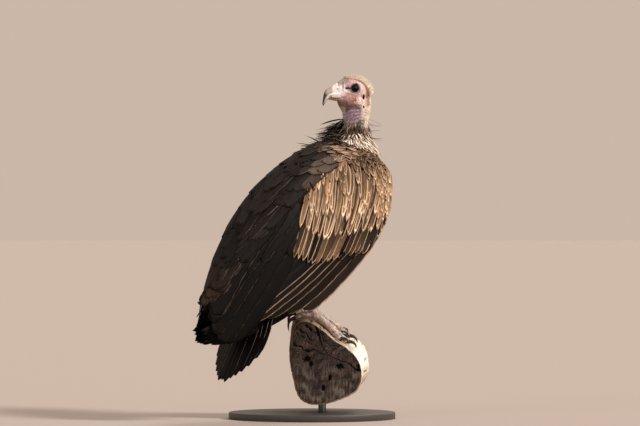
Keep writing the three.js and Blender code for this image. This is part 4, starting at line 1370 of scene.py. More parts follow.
# The spreading tree. The source mesh carries at every corner how dense, how large and how raised the coat is
# there, which way it lies and its colour.
def spreadTree():
    tree = bpy.data.node_groups.new("spreadFeathers", "GeometryNodeTree")
    for label, kind, value in (("Geometry", "Geometry", None), ("Feather", "Object", None),
                               ("Spacing", "Float", 0.007), ("Lift", "Float", 0.2), ("Tousle", "Float", 0.15),
                               ("Size Spread", "Float", 0.2), ("Sink", "Float", 0.0005), ("Seed", "Int", 1),
                               ("Material", "Material", None)):
        socket = tree.interface.new_socket(label, in_out="INPUT", socket_type="NodeSocket" + kind)
        if value is not None:
            socket.default_value = value
    tree.interface.new_socket("Geometry", in_out="OUTPUT", socket_type="NodeSocketGeometry")
    asked = addNode(tree, "NodeGroupInput").outputs
    coat = {}
    for label, kind in (("coatDensity", "FLOAT"), ("coatSize", "FLOAT"), ("coatLift", "FLOAT"),
                        ("coatLie", "FLOAT_VECTOR")):
        coat[label] = addNode(tree, "GeometryNodeInputNamedAttribute", {"Name": label}, data_type=kind)

    # places for the feathers, a little under the skin; each keeps where it grew and a random tone
    cell = addNode(tree, "Math", {0: asked["Spacing"], 1: asked["Spacing"]}, operation="MULTIPLY")
    crowd = addNode(tree, "Math", {0: 1.7, 1: cell}, operation="DIVIDE")
    spread = addNode(tree, "GeometryNodeDistributePointsOnFaces",
                     {"Mesh": asked["Geometry"], "Distance Min": asked["Spacing"], "Density Max": crowd,
                      "Density Factor": coat["coatDensity"], "Seed": asked["Seed"]},
                     distribute_method="POISSON")
    lower = addNode(tree, "Math", {0: 1.0, 1: asked["Size Spread"]}, operation="SUBTRACT")
    upper = addNode(tree, "Math", {0: 1.0, 1: asked["Size Spread"]}, operation="ADD")
    chance = {}
    for label, low, high, offset in (("tone", 0.0, 1.0, 11), ("X", -1.0, 1.0, 1), ("Y", -1.0, 1.0, 3),
                                     ("Z", -1.6, 1.6, 2), ("size", lower, upper, 4)):
        seed = addNode(tree, "Math", {0: asked["Seed"], 1: offset}, operation="ADD")
        chance[label] = addNode(tree, "FunctionNodeRandomValue", {2: low, 3: high, 8: seed},
                                data_type="FLOAT").outputs[1]
    points = spread
    for label, kind, value in (("root", "FLOAT_VECTOR", addNode(tree, "GeometryNodeInputPosition")),
                               ("tone", "FLOAT", chance["tone"])):
        points = addNode(tree, "GeometryNodeStoreNamedAttribute",
                         {"Geometry": points, "Name": label, "Value": value}, data_type=kind, domain="POINT")
    sink = addNode(tree, "Math", {0: asked["Sink"], 1: -1.0}, operation="MULTIPLY")
    offset = addNode(tree, "VectorMath", {0: spread.outputs["Normal"], "Scale": sink}, operation="SCALE")
    points = addNode(tree, "GeometryNodeSetPosition", {"Geometry": points, "Offset": offset})

    # each stands out of the skin and points along the coat, then is raised, rolled and turned a little
    stand = addNode(tree, "FunctionNodeAxesToRotation", {"Primary Axis": spread.outputs["Normal"],
                    "Secondary Axis": coat["coatLie"]}, primary_axis="Z", secondary_axis="Y")
    swing = {}
    for axis in "XYZ":
        swing[axis] = addNode(tree, "Math", {0: asked["Tousle"], 1: chance[axis]}, operation="MULTIPLY")
    swing["X"] = addNode(tree, "Math", {0: asked["Lift"], 1: coat["coatLift"], 2: swing["X"]},
                         operation="MULTIPLY_ADD")
    turn = addNode(tree, "CombineXYZ", swing)
    turn = addNode(tree, "FunctionNodeEulerToRotation", {0: turn})
    stand = addNode(tree, "FunctionNodeRotateRotation", {0: stand, 1: turn}, rotation_space="LOCAL")
    size = addNode(tree, "Math", {0: coat["coatSize"], 1: chance["size"]}, operation="MULTIPLY")
    feather = addNode(tree, "GeometryNodeObjectInfo", {"Object": asked["Feather"]}).outputs["Geometry"]
    spreadOut = addNode(tree, "GeometryNodeInstanceOnPoints",
                        {"Points": points, "Instance": feather, "Rotation": stand, "Scale": size})
    solid = addNode(tree, "GeometryNodeRealizeInstances", {"Geometry": spreadOut})
    done = addNode(tree, "GeometryNodeSetMaterial", {"Geometry": solid, "Material": asked["Material"]})
    addNode(tree, "NodeGroupOutput", {"Geometry": done})
    return tree


spreadFeathers = spreadTree()


# The part of the skin that a coat grows on, with the coat's facts at its corners.
def coatSource(facts):
    covered = skinTriangles[facts["coatDensity"][skinTriangles].max(axis=1) > 0.01]
    used = np.unique(covered)
    renumbered = np.zeros(len(skinPoints), dtype=int)
    renumbered[used] = np.arange(len(used))
    source = meshPiece("coatSource", skinPoints[used], renumbered[covered])
    for label in ("coatDensity", "coatSize", "coatLift"):
        setAttribute(source.data, label, "FLOAT", facts[label][used])
    setAttribute(source.data, "coatLie", "FLOAT_VECTOR", skinLie[used])
    for label in ("centre", "fringe"):
        setAttribute(source.data, label, "FLOAT_COLOR", facts[label][used])
    return source


def setInput(modifier, label, value):
    for item in modifier.node_group.interface.items_tree:
        if item.item_type == "SOCKET" and item.in_out == "INPUT" and item.name == label:
            modifier[item.identifier] = value


# The bird's unwrapped shape: how far round its long axis and how far along it from tail to bill a place is.
bodyAxis = [(0, 150, 200), (0, 104, 268), (0, 40, 334), (0, -18, 388), (0, -66, 434), (0, -92, 480),
            (0, -102, 520), (1, -105, 556), (-4, -115, 590), (20, -70, 600)]


def unwrapped(points):
    axis = spline(np.array(bodyAxis) * mm, np.linspace(0, 1, 160))
    ahead = unit(np.gradient(axis, axis=0))
    side = unit(np.cross(ahead, (0.0, 0.72, 0.69)))
    rise = np.cross(side, ahead)
    near = np.empty(len(points), dtype=int)
    for start in range(0, len(points), 20000):
        part = points[start:start + 20000]
        near[start:start + 20000] = ((part[:, None] - axis[None]) ** 2).sum(axis=2).argmin(axis=1)
    off = points - axis[near]
    angle = np.arctan2((off * side[near]).sum(axis=1), (off * rise[near]).sum(axis=1))
    along = near + (off * ahead[near]).sum(axis=1) / np.linalg.norm(axis[1] - axis[0])
    return np.column_stack([0.5 + angle / (2 * math.pi), np.clip(along / 159, 0, 1)])


# A coat as one piece: its look is a dictionary with the size of one feather and the tree's inputs, and how
# dense, large and raised it is and its colours are given for each corner of the skin.
def spreadCoat(name, look, material, slot, nodes, density, size, centre, fringe, lift=None):
    lift = np.ones(len(skinPoints)) if lift is None else lift
    source = coatSource({"coatDensity": density, "coatSize": size, "coatLift": lift, "centre": centre,
                         "fringe": fringe})
    model = tuftModel(**look["tuft"]) if "tuft" in look else bladeModel(**look["blade"])
    modifier = source.modifiers.new("spread", "NODES")
    modifier.node_group = spreadFeathers
    for label, value in {"Feather": model, "Material": material, **look["spread"]}.items():
        setInput(modifier, label, value)
    piece = finished(source, name)
    bpy.data.objects.remove(model)
    mesh = piece.data
    vane = getAttribute(mesh, "vane", 3)
    tone = getAttribute(mesh, "tone", 1)
    vane[:, 2] = tone
    mesh.attributes["vane"].data.foreach_set("vector", vane.astype(np.float32).ravel())
    root = getAttribute(mesh, "root", 3).astype(float)
    patch = 0.004 + 0.992 * unwrapped(root) + np.column_stack([vane[:, 0], 2 * vane[:, 1] - 1]) * 0.0015
    corners = np.empty(len(mesh.loops), dtype=np.int32)
    mesh.loops.foreach_get("vertex_index", corners)
    layer = mesh.uv_layers.new(name="OFBake")
    layer.data.foreach_set("uv", np.clip(patch[corners], 0, 1).astype(np.float32).ravel())
    for label in ("root", "tone", "coatDensity", "coatSize", "coatLift", "coatLie"):
        mesh.attributes.remove(mesh.attributes[label])
    mesh.polygons.foreach_set("use_smooth", np.ones(len(mesh.polygons), dtype=bool))
    settle(piece, slot, *nodes)
    print(name, "ready,", sum(len(p.vertices) - 2 for p in mesh.polygons), "triangles")


# Downy feather barbs: very matt, with a second colour towards their tips and edges.
def downKeratin(name, uneven=0.2):
    material, tree, bsdf = startMaterial(name, Roughness=0.85, IOR=1.5, Specular_IOR_Level=0.2)
    vane = addNode(tree, "Attribute", attribute_name="vane").outputs["Vector"]
    parts = addNode(tree, "SeparateXYZ", {"Vector": vane})
    centre = addNode(tree, "Attribute", attribute_name="centre")
    fringe = addNode(tree, "Attribute", attribute_name="fringe")
    out = addNode(tree, "Math", {0: parts.outputs["X"]}, operation="ABSOLUTE")
    edge = addNode(tree, "Math", {0: out, 1: parts.outputs["Y"]}, operation="MAXIMUM")
    tip = addNode(tree, "MapRange", {"Value": edge, "From Min": 0.55, "From Max": 1.0})
    colour = addNode(tree, "Mix", {0: tip, 6: centre, 7: fringe}, data_type="RGBA").outputs[2]
    light = addNode(tree, "MapRange", {"Value": parts.outputs["Z"], "To Min": 1 - uneven,
                                       "To Max": 1 + uneven})
    addNode(tree, "VectorMath", {0: colour, 1: light}, to=bsdf.inputs["Base Color"], operation="MULTIPLY")
    return material


# The corners of the skin with all that the coats need to know.
def skinPlaces():
    mesh = skin.data
    mesh.calc_loop_triangles()
    triangles = np.empty(len(mesh.loop_triangles) * 3, dtype=np.int32)
    mesh.loop_triangles.foreach_get("vertices", triangles)
    points, normals = pointsOf(mesh), normalsOf(mesh)
    rows, columns = rightWing.grid.shape[:2]
    outer = rightWing.grid.reshape(-1, 3)
    tree = KDTree(len(outer))
    for i, place in enumerate(outer):
        tree.insert(place, i)
    tree.balance()
    near, gap = np.empty(len(points), dtype=int), np.empty(len(points))
    for i, (x, y, z) in enumerate(points):
        _, near[i], gap[i] = tree.find((-abs(x), y, z))
    s, t = (near // columns) / (rows - 1), (near % columns) / (columns - 1)
    mirrored = normals * np.where(points[:, :1] > 0, (-1, 1, 1), (1, 1, 1))
    facing = (mirrored * rightWing.normals.reshape(-1, 3)[near]).sum(axis=1)
    over = (gap < 0.034) & (facing > 0.1) & (s > 0.015) & (t < 0.985)
    return triangles.reshape(-1, 3), points, normals, over


skinTriangles, skinPoints, skinNormals, underWing = skinPlaces()


def lieOver(points, normals):
    _, y, z = points.T
    body = np.tile((0.0, 0.67, -0.74), (len(points), 1))
    down = np.tile((0.0, 0.05, -1.0), (len(points), 1))
    body = mix(body, down, fade(0.44, 0.50, z))
    low = fade(0.335, 0.315, z) * (y < 0.075)
    body = mix(body, np.tile((0.0, 0.55, -0.9), (len(points), 1)), low)
    back = mix(np.tile(-headAxes[0], (len(points), 1)), down, fade(-14, -30, toHead(points)[:, 0]))
    body = mix(body, back, fade(0.562, 0.575, z))
    body = body - normals * (body * normals).sum(axis=1, keepdims=True)
    return unit(body)


skinLie = lieOver(skinPoints, skinNormals)


bodyCoat = {
    "blade": {"length": 25, "half": 7.5, "rows": 6, "columns": 5, "droop": 0.10},
    "spread": {"Spacing": 0.0068, "Lift": 0.16, "Tousle": 0.1, "Seed": 4},
}


def buildBodyFeathers(material):
    _, y, z = skinPoints.T
    density = fade(0.252, 0.262, z) * fade(0.508, 0.490, z) * ~underWing
    colour = bodyColour(skinPoints)
    low = fade(0.305, 0.275, z) * (y < 0.075)
    size = 1.0 - 0.45 * low - 0.25 * fade(0.44, 0.50, z)
    spreadCoat("bodyFeathers", bodyCoat, material, "plumage", ("trunk", "right_thigh", "left_thigh"),
               density, size, colour, mix(colour, "tan", 0.35), lift=1 + 1.2 * low)


# The collar round the base of the neck. Angles start at the bird's left rear and have its right rear at 90:
# black hackles lie from its left front to its left rear, then comes grey down, and brown hackles over pale
# fluff lie on its right.
def collarFacts():
    z = skinPoints[:, 2]
    ahead, behind = fromNeck(skinPoints)
    angle = np.degrees(np.arctan2(behind, -ahead))
    angle = angle + 14 * ripple(skinPoints, 0.014, 60)

    def zone(start, end, soft=14):
        return fade(start - soft, start, angle) * fade(end + soft, end, angle)

    black = zone(-105, 12 + 34 * fade(0.524, 0.506, z))
    brown = np.maximum(zone(88, 132), 0.4 * zone(-180, -125))
    masked = underWing & (z < 0.482)
    pale = np.maximum(fade(58, 84, angle), fade(-128, -140, angle))
    return black, brown, pale, fade(0.455, 0.470, z) * ~masked, 0.5 + 0.5 * ripple(skinPoints, 0.010, 61), z


hackleCoat = {
    "blade": {"length": 31, "half": 2.1, "rows": 7, "columns": 3, "droop": 0.20, "pointed": 0.95},
    "spread": {"Spacing": 0.0018, "Lift": 0.90, "Tousle": 0.28, "Size Spread": 0.35, "Seed": 9},
}


def buildHackles(material):
    black, brown, _, low, mottled, z = collarFacts()
    near = fade(0.075, 0.055, np.hypot(skinPoints[:, 0], skinPoints[:, 1] + neckPlace["behindMiddle"]))
    column = (1 - black) * (1 - brown)
    share = black + 0.45 * brown * fade(0.506, 0.514, z) + 0.16 * column * fade(0.504, 0.510, z)
    share = np.clip(share, 0.02, 1)
    density = fade(0.545, 0.534, z) * low * near * share
    centre = layered(
        mix("#15110f", "umber", 0.5 * mottled),
        ("#4a382c", 0.75 * brown),
        ("#9a897d", 0.9 * column),
    )
    fringe = mix(centre, "greyBrown", 0.35)
    high = fade(0.500, 0.530, z)
    size = 0.95 + 0.25 * mottled - 0.45 * brown - 0.55 * column + 0.10 * black * high
    spreadCoat("hackles", hackleCoat, material, "plumage", ("neck_ruff",), density, size, centre, fringe,
               lift=0.55 + 0.92 * black * high)


fluffCoat = {
    "blade": {"length": 22, "half": 1.7, "rows": 6, "columns": 3, "droop": 0.12, "pointed": 0.95},
    "spread": {"Spacing": 0.0020, "Lift": 0.30, "Tousle": 0.22, "Size Spread": 0.4, "Seed": 19},
}


def buildCollarFluff(material):
    _, _, pale, low, mottled, z = collarFacts()
    near = fade(0.075, 0.062, np.hypot(skinPoints[:, 0], skinPoints[:, 1] + neckPlace["behindMiddle"]))
    density = low * fade(0.520, 0.506, z) * pale * near
    centre = mix("#e0c3a4", "#f6efe6", np.clip(1.6 * mottled - 0.2, 0, 1))
    streak = 0.5 + 0.5 * ripple(skinPoints * (1, 1, 0.35), 0.010, 63)
    centre = mix(centre, "#a5805f", 0.7 * fade(0.66, 0.9, streak))
    ahead, _ = fromNeck(skinPoints)
    centre = mix(centre, "#bf9168", 0.75 * fade(0.016, 0.036, ahead) * (0.4 + 0.6 * mottled))
    spreadCoat("collarFluff", fluffCoat, material, "plumage", ("neck_ruff",), density, 0.7 + 0.5 * mottled,
               centre, mix(centre, "cream", 0.4), lift=0.5 + mottled)


# A few long stiff spikes that stand out of the collar.
spikeCoat = {
    "blade": {"length": 24, "half": 0.8, "rows": 6, "columns": 3, "droop": 0.05, "pointed": 1.0},
    "spread": {"Spacing": 0.0075, "Lift": 1.2, "Tousle": 0.4, "Size Spread": 0.3, "Seed": 29},
}


def buildCollarSpikes(material):
    black, brown, _, low, mottled, z = collarFacts()
    density = low * fade(0.496, 0.506, z) * fade(0.546, 0.538, z) * 0.8 * (1 - 0.8 * brown)
    centre = mix("#15110f", "tan", np.clip(1.2 * (1 - black) * mottled - 0.3, 0, 1))
    spreadCoat("collarSpikes", spikeCoat, material, "plumage", ("neck_ruff",), density, 0.8 + 0.4 * mottled,
               centre, centre)


hoodCoat = {
    "tuft": {"spikes": 2, "length": 3.6, "half": 0.22, "spread": 0.5, "droop": 0.2, "seed": 3},
    "spread": {"Spacing": 0.0008, "Lift": 0.2, "Tousle": 0.09, "Size Spread": 0.2, "Seed": 12,
               "Sink": 0.0001},
}


def buildHoodDown(material):
    _, upper, hood = headPlaces(skinPoints)
    density = np.clip(hood * upper * 1.4 - 0.2, 0, 1)
    centre = hoodColour(skinPoints)
    spreadCoat("hoodDown", hoodCoat, material, "plumage", ("head",), density, 0.65 + 0.5 * hood, centre,
               mix(centre, "ivory", 0.3))


fuzzCoat = {
    "tuft": {"spikes": 2, "length": 4.4, "half": 0.22, "spread": 0.45, "droop": 0.2, "seed": 5},
    "spread": {"Spacing": 0.0014, "Lift": 0.55, "Tousle": 0.5, "Size Spread": 0.4, "Seed": 15},
}


def buildNeckFuzz(material):
    own, upper, hood = headPlaces(skinPoints)
    x, _, z = own.T
    neck = fade(-30, -46, z) * fade(-76, -66, z)
    sparse = fade(-8, -24, z) * fade(16, 4, x) * 0.25 + 0.05
    density = np.clip(neck * (0.25 + 0.5 * fade(-40, -62, z)) + sparse, 0, 1) * upper * (1 - hood) * (z > -84)
    (eyeX, _, eyeZ), _ = eyeFromFrame("left")
    brow = fade(14, 18, x) * fade(8, 12, z) * fade(29, 25, x) * 0.9
    density *= fade(9, 13, np.hypot(x - eyeX, z - eyeZ)) * fade(16, 10, x) + (z < -26)
    density = np.maximum(density, brow * upper)
    density = np.clip(density, 0, 1)
    centre = layered(
        mix("#b5a698", "#5d4f47", np.clip(0.4 + 0.6 * ripple(skinPoints, 0.006, 81), 0, 1)),
        ("#4a3830", fade(-48, -34, z) * fade(16, 13, x)),
        ("#6e625b", brow),
    )
    spreadCoat("neckFuzz", fuzzCoat, material, "plumage", ("neck", "head"), density,
               0.55 + 0.55 * fade(-30, -70, z), centre, mix(centre, "greyBrown", 0.5))


softFeather = featherKeratin("contourFeather", roughness=0.8)
down = downKeratin("down")
buildBodyFeathers(softFeather)
buildHackles(downKeratin("hackleFeather"))
buildCollarFluff(down)
buildCollarSpikes(down)
buildHoodDown(downKeratin("hoodDown", uneven=0.07))
buildNeckFuzz(down)


# The frame's own runs, in the head's mm, with more sections.
bill = {
    "upper": {
        "spine": [(24.5, 0, -2.4), (30, 0, -3.4), (35.5, 0, -4.6), (41, 0, -5.9), (46, 0, -7.9),
                  (49.9, 0, -13.0), (53.2, 0, -19.6), (55.0, 0, -25.0), (56.0, 0, -29.6)],
        "wide": [8.6, 8.8, 8.2, 7.2, 6.2, 4.6, 3.0, 1.8, 0.5],
        "deep": [13.2, 12.8, 11.6, 10.2, 8.8, 6.0, 3.6, 2.3, 0.5],
    },
    "lower": {
        "spine": [(16, 0, -18.4), (27, 0, -18.0), (37, 0, -17.6), (46.0, 0, -17.0)],
        "wide": [6.8, 6.8, 5.6, 2.6], "deep": [3.2, 3.2, 2.5, 1.3],
    },
    "nostril": (31.0, 0.6), "nostrilSize": (2.1, 1.2),
    "cereEnd": 39.0,  # along the head
}


# Horn: smooth, layered and half glossy; the cere has the same finish.
def billHorn():
    material, tree, bsdf = startMaterial("billHorn", Roughness=0.38, IOR=1.54, Subsurface_Weight=0.06,
                                         Subsurface_Radius=(0.003, 0.002, 0.0012))
    place = addNode(tree, "TexCoord").outputs["Object"]
    shade = addNode(tree, "Attribute", attribute_name="hornColour")
    grain = addNode(tree, "TexNoise", {"Vector": place, "Scale": 520.0, "Detail": 4.0})  # 2 mm flecks
    spread = addNode(tree, "MapRange", {"Value": grain, "From Min": 0.3, "From Max": 0.7,
                                                  "To Min": 0.88, "To Max": 1.08})
    addNode(tree, "VectorMath", {0: shade, 1: spread}, to=bsdf.inputs["Base Color"], operation="MULTIPLY")
    addNode(tree, "Bump", {"Height": grain, "Strength": 0.2, "Distance": 0.0003}, to=bsdf.inputs["Normal"])
    return material


def buildBill():
    horn = billHorn()
    upper = bill["upper"]
    steps, sides = 84, 72
    points, faces = loft(upper["spine"], upper["wide"], upper["deep"], flat=(0, 1, 0), steps=steps,
                         sides=sides)
    line = spline(upper["spine"], np.linspace(0, 1, 200))
    near = ((points[:, None, ::2] - line[None, :, ::2]) ** 2).sum(axis=2).argmin(axis=1)
    along = near / 199
    middle = line[near]
    ahead = unit(np.gradient(line, axis=0))[near]
    rise = np.cross(ahead, (0.0, 1.0, 0.0)) * (1, 0, 1)
    rise = -unit(rise) * np.sign((rise * (0, 0, -1)).sum(axis=1, keepdims=True) + 1e-9)
    off = points - middle
    up = (off * rise).sum(axis=1)
    deep = np.interp(along, np.linspace(0, 1, 9), upper["deep"])
    wide = np.interp(along, np.linspace(0, 1, 9), upper["wide"])
    share = up / np.maximum(deep, 0.1)
    # flat under the cutting edges, with the edge itself standing out as a rounded rim that carries a painted
    # highlight
    side = np.sign(points[:, 1])
    below = np.clip(-share, 0, 0.999)
    boxy = (1 - below ** 9) ** (1 / 9) / np.sqrt(1 - below ** 2)
    points[:, 1] *= 1 + (np.minimum(boxy, 3.5) - 1) * fade(0.95, 0.6, along) * (np.abs(points[:, 1]) > 1e-4)
    points[:, 1] += side * wide * 0.12 * hump(share, -0.34, 0.2) * fade(0.98, 0.75, along)
    points[:, 1] -= side * wide * 0.10 * hump(share, -0.02, 0.2) * fade(0.9, 0.5, along)
    # the cere's swelling and the groove at its end
    x = points[:, 0]
    cere = fade(bill["cereEnd"] + 0.8, bill["cereEnd"] - 1.2, x)
    points += rise * ((0.5 * cere + 1.3 * fade(35, 31, x)) * fade(-0.2, 0.6, share))[:, None]
    nx, nz = bill["nostril"]
    reach = np.hypot((points[:, 0] - nx) / bill["nostrilSize"][0],
                     (points[:, 2] - nz) / bill["nostrilSize"][1])
    points[:, 1] -= side * 2.4 * fade(1.15, 0.55, reach)
    points[:, 1] += side * 0.35 * hump(reach, 1.5, 0.4)
    world = fromHead(points)
    fleck = 0.5 + 0.5 * ripple(world, 0.006, 91)
    colour = layered(
        mix("#f6eeef", "#e4d0cf", 0.5 * fleck),
        ("#b8a99f", fade(bill["cereEnd"] - 1, bill["cereEnd"] + 3, x)),
        # painted highlight along the rim of the cutting edge
        ("#fbf7f2", 0.9 * hump(share, -0.30, 0.14) * fade(54, 48, x)),
        ("#cfb3a8", 0.6 * fade(-0.50, -0.75, share) * fade(54, 48, x)),
        ("#9c8b80", 0.7 * fade(0.5, 0.95, share) * fade(36, 46, x)),
        ("#8f8077", 0.6 * fade(0.74, 0.90, along)),
        ("#14100f", fade(0.05, 0.35, share) * fade(0.50, 0.62, along)),
        ("#1c1614", fade(0.86, 0.96, along)),
        # painted shade of the mouth's gap, on the flat underside
        ("#4a2a26", 0.85 * fade(-0.88, -0.94, share) * fade(52, 47, x)),
        # painted shade in the nostril
        ("#241413", fade(1.15, 0.8, reach)),
    )
    top = meshPiece("upperBill", world, faces, horn)
    setAttribute(top.data, "hornColour", "FLOAT_COLOR", colour)
    lower = bill["lower"]
    points, faces = loft(lower["spine"], lower["wide"], lower["deep"], flat=(0, 1, 0), steps=36, sides=40)
    world = fromHead(points)
    colour = mix("#b58e80", "#8d7263", 0.5 + 0.5 * ripple(world, 0.006, 93))
    colour = mix(colour, "#d9c0b2", fade(-17.4, -15.5, points[:, 2]))
    bottom = meshPiece("lowerBill", world, faces, horn)
    setAttribute(bottom.data, "hornColour", "FLOAT_COLOR", colour)
    for piece, node in ((top, "upper_bill"), (bottom, "lower_bill")):
        settle(piece, "bill_horn", node)
    print("bill ready")


buildBill()


# The branch, in mm and degrees; its claws and rods find their places on it.
branch = {
    "heading": 140, "middle": (5, -28, 110), "rise": 6, "reach": 82,
    "radii": (62, 50, 54, 71, 79, 74, 74, 74, 60, 56, 65, 86), "waver": 2.5, "flare": 14,
}
branchHeading = math.radians(branch["heading"])
branchAxis = np.array([math.cos(branchHeading), math.sin(branchHeading), 0.0])
branchSide = -np.cross(branchAxis, upZ)
branchMiddle = np.array(branch["middle"])
branchFall = math.tan(math.radians(branch["rise"]))


# A place beside the branch in mm: degrees round from its top towards the bird's front, distance along it, and
# height above its surface.
def onBranch(turned, along, height=0.0):
    turned, along = np.broadcast_arrays(np.asarray(turned, float), np.asarray(along, float))
    angle = np.radians(turned)
    radii = np.array(branch["radii"], float)
    place = (turned / 360 % 1) * len(radii)
    i = np.floor(place).astype(int)
    w = place - i
    p0, p1, p2, p3 = [radii[(i + step) % len(radii)] for step in (-1, 0, 1, 2)]
    radius = p1 + 0.5 * w * (p2 - p0 + w * (2 * p0 - 5 * p1 + 4 * p2 - p3 + w * (3 * (p1 - p2) + p3 - p0)))
    away = (1 - along / branch["reach"]) / 2  # the front swells away from the sawn end
    radius = radius + branch["flare"] * away * np.maximum(0, np.sin(angle - 0.35)) ** 2
    radius = radius + branch["waver"] * np.sin(along / 23 + 3 * angle) * np.sin(angle * 2 + 1) + height
    return (branchMiddle + branchAxis * along[..., None] + branchSide * (radius * np.sin(angle))[..., None]
            + upZ * (radius * np.cos(angle) - along * branchFall)[..., None])


woodLook = {"rings": 52, "around": 300, "along": 100, "cracks": 9, "pith": (10.0, 14.0), "edge": 1.6}


# Dead wood without its bark: silvery and cream where the weather reached it and where light is painted on the
# flank towards the key, dark and split where sawn.
def deadWood():
    material, tree, bsdf = startMaterial("deadWood", Roughness=0.86, IOR=1.5, Specular_IOR_Level=0.25)
    place = addNode(tree, "TexCoord").outputs["Object"]
    # the grain runs eight times as far along the branch
    turned = addNode(tree, "Mapping", {"Vector": place, "Rotation": (0, 0, branchHeading),
                                                 "Scale": (8.0, 1.0, 1.0)}, vector_type="TEXTURE")
    shade = addNode(tree, "Attribute", attribute_name="woodColour")
    fibre = addNode(tree, "TexNoise", {"Vector": turned, "Scale": 420.0, "Detail": 6.0, "Roughness": 0.65})
    coarse = addNode(tree, "TexNoise", {"Vector": turned, "Scale": 90.0, "Detail": 4.0})
    spread = addNode(tree, "MapRange", {"Value": fibre, "From Min": 0.3, "From Max": 0.7,
                                                  "To Min": 0.72, "To Max": 1.22})
    spread = addNode(tree, "Math", {0: coarse, 1: 0.7, 2: spread}, operation="MULTIPLY_ADD")
    spread = addNode(tree, "Math", {0: spread, 1: 0.35}, operation="SUBTRACT")
    addNode(tree, "VectorMath", {0: shade, 1: spread}, to=bsdf.inputs["Base Color"], operation="MULTIPLY")
    addNode(tree, "Bump", {"Height": fibre, "Strength": 0.7, "Distance": 0.0012}, to=bsdf.inputs["Normal"])
    return material


# How deep, in mm, the splits and holes of a sawn end are; u and v are mm from the pith, rim the share of the
# way out to the edge.
def sawnFace(u, v, rim, seed):
    rolls = np.random.default_rng(seed)
    angle, reach = np.arctan2(v, u), np.hypot(u, v)
    flat = np.column_stack([u, v, 0 * u])
    crooked = angle + 0.10 * ripple(flat, 22, seed + 1) + 0.03 * ripple(flat, 7, seed + 2)
    depth = np.zeros(len(u))
    bearings = np.sort(rolls.uniform(-math.pi, math.pi, woodLook["cracks"]))
    bearings[:3] = np.radians((164, -22, 118))  # the three long splits
    for k, bearing in enumerate(bearings):
        long = 1.0 if k < 3 else rolls.uniform(0.3, 0.7)
        gap = np.abs((crooked - bearing + math.pi) % (2 * math.pi) - math.pi) * reach
        half = (0.5 + 1.3 * rim) * (1.0 if k < 3 else 0.6)
        inside = fade(1 - long - 0.08, 1 - long + 0.05, rim) if k >= 3 else fade(0.04, 0.2, rim)
        depth = np.maximum(depth, (6 if k < 3 else 3.5) * fade(half, half * 0.35, gap) * inside)
    for place in ((-36, -6, 9, 5), (-30, -14, 5, 6), (22, -20, 6, 5), (4, -40, 4, 5), (-8, -58, 3, 6)):
        hole = np.hypot((u - place[0]) / place[2], (v - place[1]) / place[3]) + 0.35 * ripple(flat, 8,
            seed + 5)
        depth = np.maximum(depth, 6 * fade(1.1, 0.6, hole))
    return depth, reach + 2.2 * ripple(flat, 30, seed + 3)


